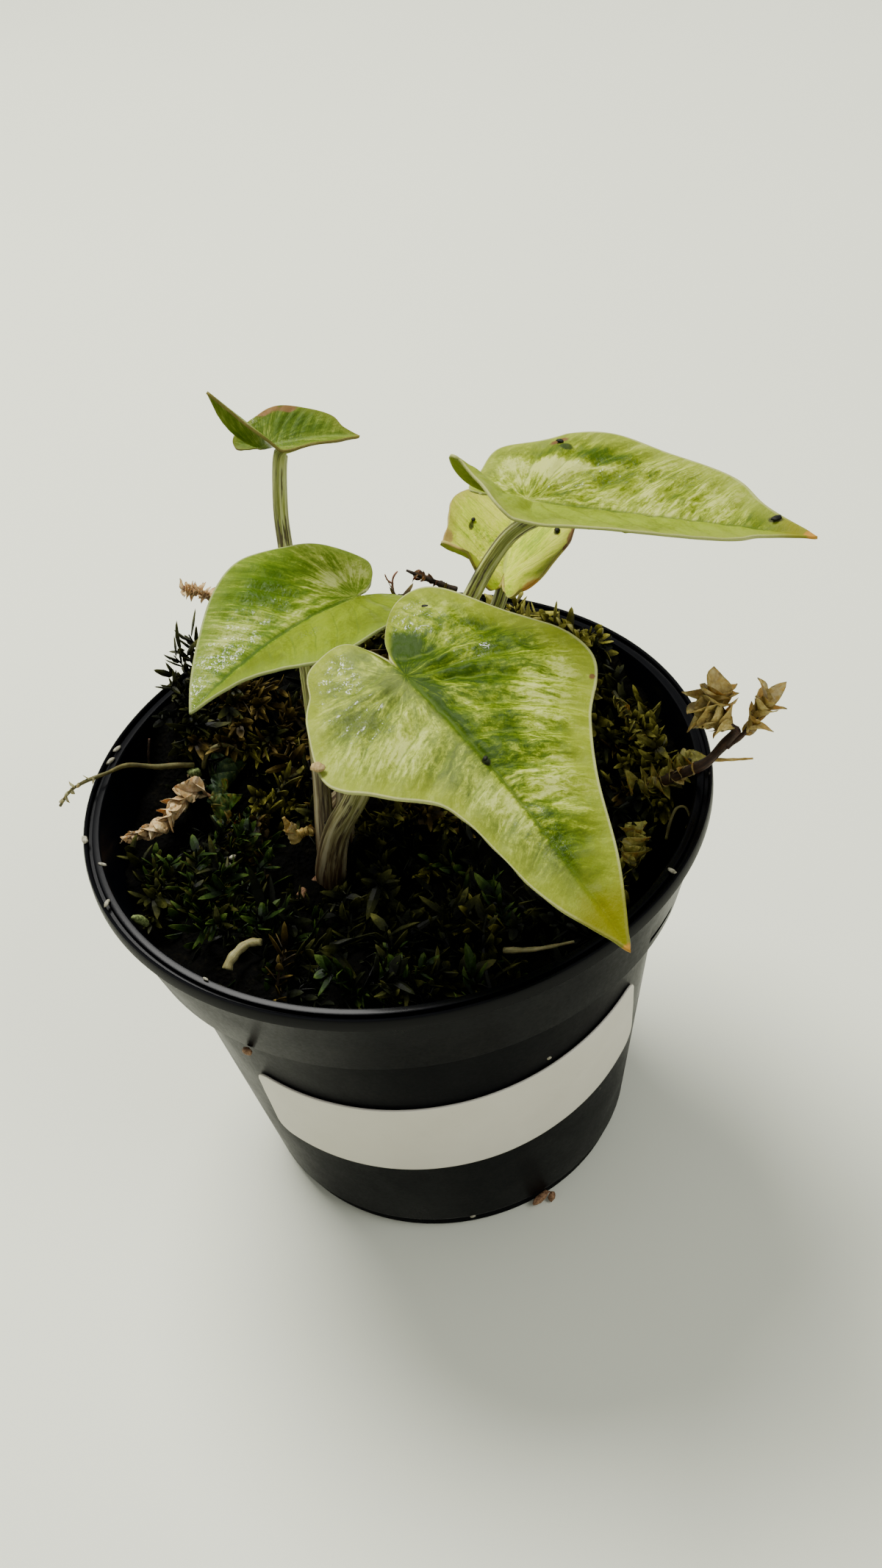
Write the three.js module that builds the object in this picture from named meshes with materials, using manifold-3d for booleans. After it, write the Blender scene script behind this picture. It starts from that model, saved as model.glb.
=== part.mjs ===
// Potted variegated corazon alocasia: a young plant with five leaves in a small
// black nursery pot filled with moss. Millimetres, +Z up, origin under the pot.
import * as THREE from 'three';
import { mergeVertices } from 'three/addons/utils/BufferGeometryUtils.js';
import Module from 'manifold-3d';

const wasm = await Module();
wasm.setup();

// Driving dimensions
const rimRadius = 36;
const potHeight = 54.3;
const collarFootZ = 42.3;
const collarFootRadius = 32.55;
const bodyTopRadius = 30.2;
const baseRadius = 23.2;
const baseZ = 2.2;
const footRadius = 22.4;
const wall = 0.85;
const floorTop = 2.2;
const recessDepth = 1.2;
const padRadius = 6;
const drainHoles = 6;
const drainRadius = 2.6;
const drainCircle = 13.5;
const clearance = 0.3;
const potSides = 48;
const innerCollarFoot = collarFootRadius - wall;
const mouthRadius = rimRadius - 2;

const labelLength = 50.4;
const labelHeight = 14.2;
const labelCorner = 2;
const labelThickness = 0.6;
const labelAzimuth = 3.1;
const labelTilt = 2.8;
const labelCentreZ = 23.5;

const mossLevel = 47.4;
const mossSideZ = 44.8;
const bladeThickness = 0.7;
const cormCentre = [-8.6, -1.4];
const cormHalfWidth = 2.5;
const cormHalfLength = 7.2;
const cormTop = 46.1;
const cormBottom = 37.5;
const petioleFoot = cormTop + clearance;
const uprightStart = 1.2;

const radians = Math.PI / 180;
const colours = {
  pot: 0x1b1d20, label: 0xf0efe9, moss: 0x211f12, corm: 0x6b5236, petiole: 0xa9aa78,
  leaf: 0xa9bd78, oldLeaf: 0xb4c078, dry: 0xb9966f, strand: 0x6a6636, straw: 0xb5a878,
};

function makeRandom(seed) {
  let state = seed;
  return () => {
    state = (state + 0x6d2b79f5) | 0;
    let t = Math.imul(state ^ (state >>> 15), 1 | state);
    t = (t + Math.imul(t ^ (t >>> 7), 61 | t)) ^ t;
    return ((t ^ (t >>> 14)) >>> 0) / 4294967296;
  };
}

// Closed geometry to solid and back, for joins and cuts
function toSolid(geometry) {
  const bare = geometry.clone();
  for (const name of Object.keys(bare.attributes)) {
    if (name !== 'position') bare.deleteAttribute(name);
  }
  const merged = mergeVertices(bare, 1e-4);
  return new wasm.Manifold(new wasm.Mesh({
    numProp: 3,
    vertProperties: new Float32Array(merged.attributes.position.array),
    triVerts: new Uint32Array(merged.index.array),
  }));
}

function toGeometry(solid) {
  const mesh = solid.getMesh();
  const geometry = new THREE.BufferGeometry();
  geometry.setAttribute('position', new THREE.BufferAttribute(mesh.vertProperties, 3));
  geometry.setIndex(new THREE.BufferAttribute(mesh.triVerts, 1));
  geometry.computeVertexNormals();
  return geometry;
}

function meshFrom(points, faces) {
  const geometry = new THREE.BufferGeometry();
  geometry.setAttribute('position', new THREE.Float32BufferAttribute(points.flat(), 3));
  geometry.setIndex(faces.flat());
  geometry.computeVertexNormals();
  return geometry;
}

const object = new THREE.Group();

function addPiece(name, geometry, color, roughness = 0.6) {
  const mesh = new THREE.Mesh(geometry, new THREE.MeshStandardMaterial({ color, roughness, metalness: 0 }));
  mesh.name = name;
  object.add(mesh);
}

function polygon(radius, sides) {
  const shape = new THREE.Shape();
  for (let i = 0; i < sides; i += 1) {
    const a = (i / sides) * 2 * Math.PI;
    if (i === 0) shape.moveTo(radius * Math.cos(a), radius * Math.sin(a));
    else shape.lineTo(radius * Math.cos(a), radius * Math.sin(a));
  }
  return shape;
}

function tube(route, radius, sides, steps) {
  const path = new THREE.CatmullRomCurve3(route.map((p) => new THREE.Vector3(...p)));
  return new THREE.ExtrudeGeometry(polygon(radius, sides), { extrudePath: path, steps, bevelEnabled: false });
}

// Pot: tapered body, collar that steps out, double-ringed lip, foot ring and centre pad
function makePot() {
  const profile = [
    [0, 0], [padRadius, 0], [padRadius + 0.5, recessDepth], [footRadius - 2.2, recessDepth],
    [footRadius - 1.8, 0], [footRadius, 0], [footRadius + 0.1, baseZ - 0.6], [baseRadius, baseZ],
    [bodyTopRadius, collarFootZ], [collarFootRadius, collarFootZ],
    [rimRadius - 0.75, potHeight - 2], [rimRadius, potHeight - 1.6], [rimRadius, potHeight - 0.2],
    [rimRadius - 0.35, potHeight], [rimRadius - 0.6, potHeight - 0.6], [rimRadius - 0.95, potHeight - 0.6],
    [rimRadius - 1.1, potHeight - 0.1], [mouthRadius, potHeight - 0.1],
    [innerCollarFoot, collarFootZ + wall], [bodyTopRadius - wall, collarFootZ + wall],
    [baseRadius - wall - 0.1, floorTop], [0, floorTop],
  ];
  const lathe = new THREE.LatheGeometry(profile.map(([r, z]) => new THREE.Vector2(r, z)), potSides);
  lathe.rotateX(Math.PI / 2);
  let pot = toSolid(lathe);
  for (let i = 0; i < drainHoles; i += 1) {
    const a = ((i + 0.5) / drainHoles) * 2 * Math.PI;
    const drill = new THREE.CylinderGeometry(drainRadius, drainRadius, 8, 12);
    drill.rotateX(Math.PI / 2);
    drill.translate(drainCircle * Math.cos(a), drainCircle * Math.sin(a), 2);
    pot = pot.subtract(toSolid(drill));
  }
  return toGeometry(pot);
}
addPiece('pot', makePot(), colours.pot, 0.42);

// Label: bare card with round corners, wrapped on the tapered body
function makeLabel() {
  const taper = (bodyTopRadius - baseRadius) / (collarFootZ - baseZ);
  const sinTaper = Math.sin(Math.atan(taper));
  const centreReach = (baseRadius + taper * (labelCentreZ - baseZ)) / sinTaper;
  const tilt = labelTilt * radians;
  const place = (along, up, outward) => {
    const x = Math.cos(tilt) * along - Math.sin(tilt) * up;
    const y = Math.sin(tilt) * along + Math.cos(tilt) * up + centreReach;
    const reach = Math.hypot(x, y);
    const turn = Math.atan2(x, y) / sinTaper + labelAzimuth * radians;
    const r = reach * sinTaper;
    const z = baseZ + (r - baseRadius) / taper;
    const out = r + outward;
    return [out * Math.sin(turn), -out * Math.cos(turn), z - outward * taper];
  };
  const half = labelLength / 2;
  const columns = [-half];
  for (const a of [20, 45, 70, 90]) columns.push(-half + labelCorner * (1 - Math.cos(a * radians)));
  const straight = 22;
  const start = half - labelCorner;
  for (let i = 1; i < straight; i += 1) columns.push(-start + (2 * start * i) / straight);
  for (const a of [90, 70, 45, 20]) columns.push(half - labelCorner * (1 - Math.cos(a * radians)));
  columns.push(half);
  const points = [];
  for (const along of columns) {
    const over = Math.max(0, Math.abs(along) - start);
    const rise = labelHeight / 2 - labelCorner + Math.sqrt(Math.max(labelCorner ** 2 - over ** 2, 0));
    for (const out of [clearance, clearance + labelThickness]) {
      points.push(place(along, -rise, out), place(along, rise, out));
    }
  }
  const faces = [[0, 2, 3], [0, 3, 1]];
  for (let i = 0; i + 1 < columns.length; i += 1) {
    const a = 4 * i;
    const b = a + 4;
    faces.push([a, a + 1, b + 1], [a, b + 1, b], [a + 2, b + 2, b + 3], [a + 2, b + 3, a + 3]);
    faces.push([a + 1, a + 3, b + 3], [a + 1, b + 3, b + 1], [a, b, b + 2], [a, b + 2, a + 2]);
  }
  const last = 4 * (columns.length - 1);
  faces.push([last, last + 3, last + 2], [last, last + 1, last + 3]);
  return meshFrom(points, faces);
}
addPiece('label', makeLabel(), colours.label, 0.55);

// Leaves. Each blade is a heart with its reach given at these angles round the
// petiole, from the tip towards the notch, on the left and right of the midrib.
const outlineAngles = [8, 20, 40, 65, 95, 125, 145, 158, 170];
const leaves = {
  front: {
    at: [3.6, -12, 77.4], heading: -66, rise: 1, bank: 2, fold: 1, droop: 0.27, curl: 0.13,
    liftLeft: 0.03, liftRight: -0.1, tip: 36, notch: 3.5, wave: 0.45,
    left: [29.5, 22.5, 18.5, 18.5, 15.5, 14.5, 15.5, 13.5, 8.5],
    right: [28.5, 17.5, 16, 15.5, 12, 11, 12.5, 12, 10],
  },
  left: {
    at: [-1.7, 10.6, 72.8], heading: 217, rise: 15, bank: -2, fold: 13, droop: 0.32, curl: 0.02,
    liftLeft: -0.1, liftRight: 0.04, tip: 22, notch: 1.5, wave: 0.25,
    left: [17.5, 15.5, 14, 11, 9.5, 8.5, 7.5, 6.5, 4.5],
    right: [20, 17.5, 15, 13, 10.5, 9.5, 8.5, 6.5, 4],
  },
  back_left: {
    at: [-6.4, 23, 86.5], heading: 8, rise: 0, bank: 6, fold: 27, droop: 0.17, curl: 0,
    liftLeft: -0.1, liftRight: 1.45, tip: 9.5, notch: 1, wave: 0.1,
    left: [8, 7.5, 6, 5, 4.5, 4.5, 5, 5, 4],
    right: [8, 7, 5.5, 4.5, 4, 4.5, 5, 6.5, 6],
  },
  right: {
    at: [20.2, 4, 85.7], heading: -25, rise: -3, bank: -10, fold: 20, droop: 0, curl: 0.13,
    liftLeft: -0.2, liftRight: 0.6, tip: 29, notch: 1, wave: 0.25,
    left: [23.5, 20.5, 16, 13.5, 11.5, 12, 10, 9.5, 7.5],
    right: [24, 22.5, 18, 13, 11.5, 8.5, 8.5, 9.5, 7.5],
  },
  small_right: {
    at: [16.3, 11.8, 72.1], heading: 76, rise: 4, bank: 2, fold: 34, droop: 0.12, curl: 0.07,
    liftLeft: 1, liftRight: 0.35, tip: 20.5, notch: 0.5, wave: 0.1,
    left: [17, 14.5, 12, 8.5, 8, 8.5, 9, 9, 6],
    right: [17, 14, 11.5, 10.5, 9, 8.5, 9.5, 9.5, 6],
  },
};

function leafAxes(leaf) {
  const h = leaf.heading * radians;
  const e = leaf.rise * radians;
  const b = leaf.bank * radians;
  const forward = new THREE.Vector3(Math.cos(h) * Math.cos(e), Math.sin(h) * Math.cos(e), Math.sin(e));
  const level = new THREE.Vector3(-Math.sin(h), Math.cos(h), 0);
  const up = new THREE.Vector3().crossVectors(forward, level);
  const side = level.clone().multiplyScalar(Math.cos(b)).addScaledVector(up, Math.sin(b));
  const normal = up.clone().multiplyScalar(Math.cos(b)).addScaledVector(level, -Math.sin(b));
  return { forward, side, normal };
}

// Place of a blade point, given its way forward and sideways along the blade
function leafPoint(leaf, axes, forward, sideways, ripple) {
  const fold = leaf.fold * radians;
  const soft = 0.03 * leaf.tip;
  const away = Math.hypot(sideways, soft) - soft;
  const back = Math.max(-forward, 0);
  const lift = sideways > 0 ? leaf.liftLeft : leaf.liftRight;
  let height = away * Math.sin(fold) - (leaf.curl * sideways ** 2) / leaf.tip;
  if (forward > 0) height -= (leaf.droop * forward ** 2) / leaf.tip;
  height += back * lift * Math.min(Math.abs(sideways) / (0.15 * leaf.tip), 1) + ripple;
  return new THREE.Vector3(...leaf.at)
    .addScaledVector(axes.forward, forward)
    .addScaledVector(axes.side, sideways * Math.cos(fold))
    .addScaledVector(axes.normal, height);
}

// Smooth curve through the outline's points, from tip to notch
function leafEdge(leaf, reaches, side, steps) {
  const points = [new THREE.Vector2(leaf.tip, 0)];
  reaches.forEach((reach, i) => {
    const a = outlineAngles[i] * radians;
    points.push(new THREE.Vector2(reach * Math.cos(a), side * reach * Math.sin(a)));
  });
  points.push(new THREE.Vector2(-leaf.notch, 0));
  return new THREE.SplineCurve(points).getPoints(steps);
}

function makeBlade(leaf, stepsPerSide, rings) {
  const axes = leafAxes(leaf);
  const left = leafEdge(leaf, leaf.left, 1, stepsPerSide);
  const right = leafEdge(leaf, leaf.right, -1, stepsPerSide);
  const edge = [...left, ...right.reverse().slice(1, -1)];
  const count = edge.length;
  const ripple = (p, share) => leaf.wave * share ** 3 * Math.sin(6 * Math.atan2(p.y, p.x));
  const surface = (p, share, offset) => {
    const at = (f, s) => leafPoint(leaf, axes, f, s, ripple(p, share));
    const f = p.x * share;
    const s = p.y * share;
    const step = 0.2;
    const alongForward = at(f + step, s).sub(at(f - step, s));
    const alongSide = at(f, s + step).sub(at(f, s - step));
    const normal = alongForward.cross(alongSide).normalize();
    return at(f, s).addScaledVector(normal, -offset).toArray();
  };
  const points = [];
  for (const offset of [0, bladeThickness]) {
    points.push(surface(edge[0], 0, offset));
    for (const share of rings) edge.forEach((p) => points.push(surface(p, share, offset)));
  }
  const layer = 1 + rings.length * count;
  const faces = [];
  for (const [base, flip] of [[0, false], [layer, true]]) {
    const put = (a, b, c) => faces.push(flip ? [base + a, base + c, base + b] : [base + a, base + b, base + c]);
    for (let j = 0; j < count; j += 1) {
      const next = (j + 1) % count;
      put(0, 1 + j, 1 + next);
      for (let k = 0; k + 1 < rings.length; k += 1) {
        const inner = 1 + k * count;
        const outer = inner + count;
        put(inner + j, outer + j, outer + next);
        put(inner + j, outer + next, inner + next);
      }
    }
  }
  const rim = 1 + (rings.length - 1) * count;
  for (let j = 0; j < count; j += 1) {
    const a = rim + j;
    const b = rim + ((j + 1) % count);
    faces.push([a, layer + a, layer + b], [a, layer + b, b]);
  }
  return meshFrom(points, faces);
}

const wideRings = [0.25, 0.5, 0.72, 0.88, 1];
const smallRings = [0.3, 0.6, 0.84, 1];
addPiece('leaf_front', makeBlade(leaves.front, 22, wideRings), colours.leaf, 0.35);
addPiece('leaf_left', makeBlade(leaves.left, 20, wideRings), colours.leaf, 0.35);
addPiece('leaf_back_left', makeBlade(leaves.back_left, 16, smallRings), colours.leaf, 0.4);
addPiece('leaf_right', makeBlade(leaves.right, 22, wideRings), colours.leaf, 0.35);
addPiece('leaf_small_right', makeBlade(leaves.small_right, 16, smallRings), colours.oldLeaf, 0.5);

// Petioles: from the corm up to the underside of each blade, thinner towards the top.
// "under" is how far below the blade's upper face each one ends.
const petioles = {
  front: {
    radius: 1.55, topShare: 0.75, under: [3.2, 1.1],
    route: [[-9, -6.6, petioleFoot], [-8.7, -7.1, 50], [-7.2, -7.9, 55.4], [-4.4, -8.8, 60.7], [0.2, -10.3, 70.2]],
  },
  left: {
    radius: 1.1, topShare: 0.8, under: [3.2, 1.1],
    route: [[-7.1, -2, petioleFoot], [-5.9, -1.2, 54], [-4.2, 2.6, 62.3], [-2.6, 7.8, 69]],
  },
  back_left: {
    radius: 0.98, topShare: 0.85, under: [3.2, 1.1],
    route: [[-9.2, -3.6, petioleFoot], [-8.8, -1.8, 51.3], [-8.2, 1.8, 55.8], [-7.7, 11.5, 63], [-7.8, 17.2, 68.8],
      [-7.7, 21.3, 74], [-7.4, 22.7, 78.4]],
  },
  right: {
    radius: 1.15, topShare: 0.75, under: [1.6],
    route: [[-8.4, 1.6, petioleFoot], [-4, 1.4, 53.6], [3.4, 0.6, 63.5], [11.6, 3, 75.7], [14.8, 3.8, 80.1],
      [17.4, 4, 82.6]],
  },
  small_right: {
    radius: 0.95, topShare: 0.85, under: [3.2, 1.1],
    route: [[-8.9, 4.3, petioleFoot], [-4.6, 4.6, 50.8], [6.7, 6.5, 59.4], [14, 10, 67]],
  },
};

function thinTowardsTop(geometry, route, steps, topShare) {
  const centres = new THREE.CatmullRomCurve3(route.map((p) => new THREE.Vector3(...p))).getSpacedPoints(steps);
  const position = geometry.attributes.position;
  const point = new THREE.Vector3();
  for (let i = 0; i < position.count; i += 1) {
    point.fromBufferAttribute(position, i);
    let ring = 0;
    centres.forEach((c, k) => { if (c.distanceTo(point) < centres[ring].distanceTo(point)) ring = k; });
    point.sub(centres[ring]).multiplyScalar(1 + (topShare - 1) * (ring / steps)).add(centres[ring]);
    position.setXYZ(i, point.x, point.y, point.z);
  }
  return geometry;
}

for (const [name, petiole] of Object.entries(petioles)) {
  const { normal } = leafAxes(leaves[name]);
  const blade = new THREE.Vector3(...leaves[name].at);
  const top = petiole.under.map((d) => blade.clone().addScaledVector(normal, -d).toArray());
  const [foot, ...rest] = petiole.route;
  const route = [foot, [foot[0], foot[1], foot[2] + uprightStart], ...rest, ...top];
  const steps = 3 * route.length;
  const stem = thinTowardsTop(tube(route, petiole.radius, 8, steps), route, steps, petiole.topShare);
  addPiece(`petiole_${name}`, stem, colours.petiole, 0.5);
}

// Corm: short lying rootstock with stubs of root, hidden in a plain pocket of the moss
function makeCorm(grow) {
  const middle = (cormTop + cormBottom) / 2;
  const half = (cormTop - cormBottom) / 2 + grow;
  const profile = [[0, -half], [0.6, -0.85 * half], [0.95, -0.3 * half], [1, 0.5 * half], [0.9, half], [0, half]];
  const body = new THREE.LatheGeometry(profile.map(([r, z]) => new THREE.Vector2(r, z)), 16);
  body.rotateX(Math.PI / 2);
  body.scale(cormHalfWidth + grow, cormHalfLength + grow, 1);
  body.translate(cormCentre[0], cormCentre[1], middle);
  return toSolid(body);
}
function makePocket() {
  const cut = new THREE.CylinderGeometry(1, 1, 30, 20);
  cut.rotateX(Math.PI / 2);
  cut.scale(cormHalfWidth + clearance, cormHalfLength + clearance, 1);
  cut.translate(cormCentre[0], cormCentre[1], cormBottom - 4 - clearance + 15);
  return toSolid(cut);
}
function makeCormWithRoots() {
  let corm = makeCorm(0);
  for (let i = 0; i < 5; i += 1) {
    const y = cormCentre[1] + (i - 2) * 2.3;
    const x = cormCentre[0] + (i % 2 ? 0.7 : -0.7);
    const root = tube([[x, y, cormBottom + 4], [x, y, cormBottom + 1], [x * 1.01, y, cormBottom - 3.4]], 0.5, 5, 2);
    corm = corm.add(toSolid(root));
  }
  return toGeometry(corm);
}
addPiece('corm', makeCormWithRoots(), colours.corm, 0.8);

// Loose dry sprigs and strands that lie on or stand in the moss
const scaleLeaf = new THREE.OctahedronGeometry(1, 0);

function placeScale(at, direction, length, width, thickness, roll) {
  const geometry = scaleLeaf.clone();
  geometry.scale(length, width, thickness);
  geometry.translate(length * 0.7, 0, 0);
  geometry.rotateX(roll);
  const turn = new THREE.Quaternion().setFromUnitVectors(new THREE.Vector3(1, 0, 0), direction.clone().normalize());
  geometry.applyQuaternion(turn);
  geometry.translate(at.x, at.y, at.z);
  return toSolid(geometry);
}

// A sprig is one or more joined stems, with bracts round some stretches of them
function makeSprig({ stems, seed }) {
  const random = makeRandom(seed || 1);
  let sprig = null;
  for (const { route, radius, steps, bracts } of stems) {
    const stem = toSolid(tube(route, radius, 6, steps));
    sprig = sprig ? sprig.add(stem) : stem;
    const path = new THREE.CatmullRomCurve3(route.map((p) => new THREE.Vector3(...p)));
    for (const group of bracts || []) {
      for (let i = 0; i < group.count; i += 1) {
        const share = group.from + (group.to - group.from) * ((i + 0.5) / group.count);
        const along = path.getTangentAt(share);
        const spin = i * 2.4 + random();
        const aside = new THREE.Vector3(Math.cos(spin), Math.sin(spin), 0.25 + 0.35 * random());
        const direction = along.clone().multiplyScalar(group.lean).add(aside.multiplyScalar(group.spread));
        const size = group.size * (0.8 + 0.4 * random());
        sprig = sprig.add(placeScale(path.getPointAt(share), direction, size, 0.42 * size, 0.36, random() * 3));
      }
    }
  }
  return sprig;
}

const sprigs = {
  dry_sprig_left: {
    colour: colours.dry, seed: 3,
    stems: [{
      radius: 0.4, steps: 12,
      route: [[-31.8, 2.9, 50.2], [-30, 3.6, 50], [-27.6, 4.4, 50.2], [-24.8, 7, 50.7], [-22.9, 8, 50.8], [-21.5, 7.6, 50]],
      bracts: [{ count: 17, from: 0.1, to: 0.97, lean: 1, spread: 0.75, size: 1.35 }],
    }],
  },
  dry_sprig_right: {
    colour: colours.dry, seed: 8,
    stems: [
      {
        radius: 0.55, steps: 12,
        route: [[28.2, -4, 50.4], [30, -6.4, 53], [32.1, -8.2, 55.3], [34.2, -8.8, 56.7], [35.8, -8.8, 58.4], [37.4, -10, 61.6]],
        bracts: [{ count: 5, from: 0.02, to: 0.3, lean: 0.8, spread: 0.7, size: 1.2 }],
      },
      {
        radius: 0.5, steps: 5, route: [[37.4, -10, 61.6], [36.2, -9.2, 62.4], [35.2, -8.6, 63.2], [35.6, -8.2, 64.6]],
        bracts: [{ count: 13, from: 0.1, to: 0.99, lean: 0.4, spread: 1, size: 1.9 }],
      },
      {
        radius: 0.42, steps: 6, route: [[36.4, -9.4, 59], [38.2, -10, 61], [39.5, -9.9, 62.8], [40.6, -10, 64.6]],
        bracts: [{ count: 8, from: 0.45, to: 0.99, lean: 0.6, spread: 0.7, size: 1.6 }],
      },
      { radius: 0.3, steps: 2, route: [[34.6, -8.8, 56.9], [37, -9.5, 57], [39.1, -10.1, 57.2]] },
    ],
  },
  trailing_strand_left: {
    colour: colours.strand, seed: 5,
    stems: [{
      radius: 0.42, steps: 16,
      route: [[-23.2, 11.7, 52], [-25, 11.5, 52.6], [-27.4, 11.4, 53], [-30.7, 11.2, 54.2], [-33, 9.2, 55.2],
        [-34.8, 8.3, 55.5], [-36.4, 7.9, 55.2], [-37.8, 8, 54.2], [-39.1, 7.9, 52.6]],
      bracts: [{ count: 7, from: 0.7, to: 0.96, lean: 0.5, spread: 0.8, size: 0.8 }],
    }],
  },
  curled_strand: {
    colour: colours.dry,
    stems: [{
      radius: 0.36, steps: 12,
      route: [[-22.2, 11.8, 51.2], [-21.7, 11.8, 52.6], [-20.9, 11.9, 53.6], [-19.6, 12, 54.1], [-18.4, 12.4, 53.1],
        [-17.7, 12.7, 51.8], [-17.6, 12.8, 51]],
    }],
  },
  tan_sprout: {
    colour: colours.dry, seed: 12,
    stems: [
      {
        radius: 0.5, steps: 5, route: [[-12.3, -2.2, 49.9], [-12.6, -1.9, 51.1], [-13.2, -1.2, 52.8]],
        bracts: [{ count: 6, from: 0.05, to: 0.5, lean: 0.4, spread: 0.8, size: 1.1 }],
      },
      { radius: 0.42, steps: 3, route: [[-12.2, -2, 50.2], [-11.5, -1.6, 50.3], [-10.8, -1.5, 50.3]] },
    ],
  },
  pale_stalk: {
    colour: colours.straw,
    stems: [{
      radius: 0.6, steps: 10,
      route: [[-21.4, -19, 48.4], [-21, -18.4, 48.9], [-20, -17.5, 49.3], [-18.8, -16.6, 49.3], [-17.4, -17.1, 49.7]],
    }],
  },
  straw_front: {
    colour: colours.straw,
    stems: [{ radius: 0.45, steps: 6, route: [[8.3, -23.8, 48.7], [11.7, -25, 49.3], [15.8, -24.8, 49.2]] }],
  },
  twig_back: {
    colour: colours.corm, seed: 21,
    stems: [{
      radius: 0.5, steps: 6, route: [[11.7, 30, 57.3], [9, 30.2, 59.2], [7, 30.6, 60.4], [6, 31, 60.9]],
      bracts: [{ count: 7, from: 0.1, to: 0.8, lean: 0.8, spread: 0.6, size: 1 }],
    }],
  },
  seed_head_back: {
    colour: colours.dry, seed: 34,
    stems: [{
      radius: 0.45, steps: 8, route: [[-18.4, 24.4, 56.4], [-17.2, 24.4, 61.5], [-17.9, 24.2, 66.6], [-20.6, 24, 68.8]],
      bracts: [{ count: 14, from: 0.72, to: 0.99, lean: 0.3, spread: 0.8, size: 0.95 }],
    }],
  },
};

// Moss: one bed that fills the pot, with a humped top and leafy sprigs grown from it
function mossHeight(x, y) {
  const hump = (cx, cy, spread, rise) => rise * Math.exp(-((x - cx) ** 2 + (y - cy) ** 2) / (2 * spread ** 2));
  const lumps = 0.75 * Math.sin(0.55 * x + 1.3) * Math.cos(0.47 * y - 0.4)
    + 0.5 * Math.sin(1.05 * x - 0.7 * y + 2) + 0.4 * Math.cos(0.8 * y + 1.15 * x);
  return mossLevel + lumps + hump(25, 20, 8.5, 8) + hump(-22, 22, 7, 7.5) + hump(6, 28, 7, 6)
    + hump(32, 0, 6, 3) + hump(-9, -4, 6, 0.8) - hump(4, -24, 10, 1);
}

// Reach of the moss at a height, just clear of the mouth's flat-sided wall
function mossReach(z) {
  const foot = collarFootZ + wall;
  const share = Math.min((z - foot) / (potHeight - 0.1 - foot), 1);
  return (innerCollarFoot + share * (mouthRadius - innerCollarFoot)) * Math.cos(Math.PI / potSides) - clearance;
}

function mossEdge(a) {
  let reach = innerCollarFoot;
  for (let i = 0; i < 3; i += 1) reach = mossReach(mossHeight(reach * Math.cos(a), reach * Math.sin(a)));
  return reach;
}

function makeBed() {
  const sectors = 46;
  const topRings = 12;
  const collarInside = collarFootZ + wall + clearance;
  const sides = [
    [mossReach(mossSideZ), mossSideZ], [mossReach(collarInside), collarInside],
    [bodyTopRadius - wall - 0.45, collarInside - 0.1], [baseRadius - wall - 0.65, floorTop + clearance],
  ];
  const points = [[0, 0, mossHeight(0, 0)]];
  const ring = (reach, height) => {
    for (let j = 0; j < sectors; j += 1) {
      const a = (j / sectors) * 2 * Math.PI;
      const x = reach(a) * Math.cos(a);
      const y = reach(a) * Math.sin(a);
      points.push([x, y, height(x, y)]);
    }
  };
  for (let k = 1; k <= topRings; k += 1) ring((a) => (mossEdge(a) * k) / topRings, mossHeight);
  sides.forEach(([r, z]) => ring(() => r, () => z));
  const rings = topRings + sides.length;
  points.push([0, 0, floorTop + clearance]);
  const faces = [];
  for (let j = 0; j < sectors; j += 1) {
    const next = (j + 1) % sectors;
    faces.push([0, 1 + j, 1 + next]);
    for (let k = 0; k + 1 < rings; k += 1) {
      const inner = 1 + k * sectors;
      const outer = inner + sectors;
      faces.push([inner + j, outer + j, outer + next], [inner + j, outer + next, inner + next]);
    }
    const last = 1 + (rings - 1) * sectors;
    faces.push([points.length - 1, last + next, last + j]);
  }
  return toSolid(meshFrom(points, faces));
}

// One leafy sprig: a bent three-sided spike with its foot well inside the bed
function makeSpike(x, y, lean, turn, length, thick) {
  const z = mossHeight(x, y);
  const out = [Math.cos(turn), Math.sin(turn)];
  const spine = [[0, -1.2], [0.3, 0.35], [0.75, 0.75], [1.25, 1]];
  const widths = [1, 0.9, 0.6, 0];
  const points = [];
  spine.forEach(([bend, up], i) => {
    const cx = x + out[0] * lean * length * bend;
    const cy = y + out[1] * lean * length * bend;
    const cz = z + up * length * (i === 0 ? 0.8 / length : 1);
    if (widths[i] === 0) {
      points.push([cx, cy, cz]);
      return;
    }
    for (let j = 0; j < 3; j += 1) {
      const a = turn + (j / 3) * 2 * Math.PI;
      points.push([cx + thick * widths[i] * Math.cos(a), cy + thick * widths[i] * Math.sin(a), cz]);
    }
  });
  const faces = [[0, 2, 1]];
  for (let k = 0; k < 2; k += 1) {
    for (let j = 0; j < 3; j += 1) {
      const a = 3 * k + j;
      const b = 3 * k + ((j + 1) % 3);
      faces.push([a, b, b + 3], [a, b + 3, a + 3]);
    }
  }
  for (let j = 0; j < 3; j += 1) faces.push([6 + j, 6 + ((j + 1) % 3), 9]);
  return toSolid(meshFrom(points, faces));
}

// Taller shoots of the two tufts that rise over the rim: place, way they lean in
// degrees, length and lean
const shoots = [
  [-24.2, 22.6, 190, 3.4, 0.5], [-23.2, 23.8, 200, 4.4, 0.2], [-22, 24.6, 190, 4.5, 0.2],
  [-21.2, 25, 170, 5.6, 0.12], [-20, 25.6, 160, 6.6, 0.13], [17.6, 23.4, 38, 6, 0.14], [20.5, 26, 249, 6, 0.2],
  [26.4, 20.2, 196, 3.2, 0.8], [29.4, 14.4, 141, 4, 0.6], [30, 11, 129, 3.6, 0.2], [30.6, 7, 20, 3.8, 0.3],
  [31, 3, 10, 4, 0.25], [30.6, 0.4, 317, 3.6, 0.25], [31.6, -2, 340, 4.4, 0.2],
];

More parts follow.
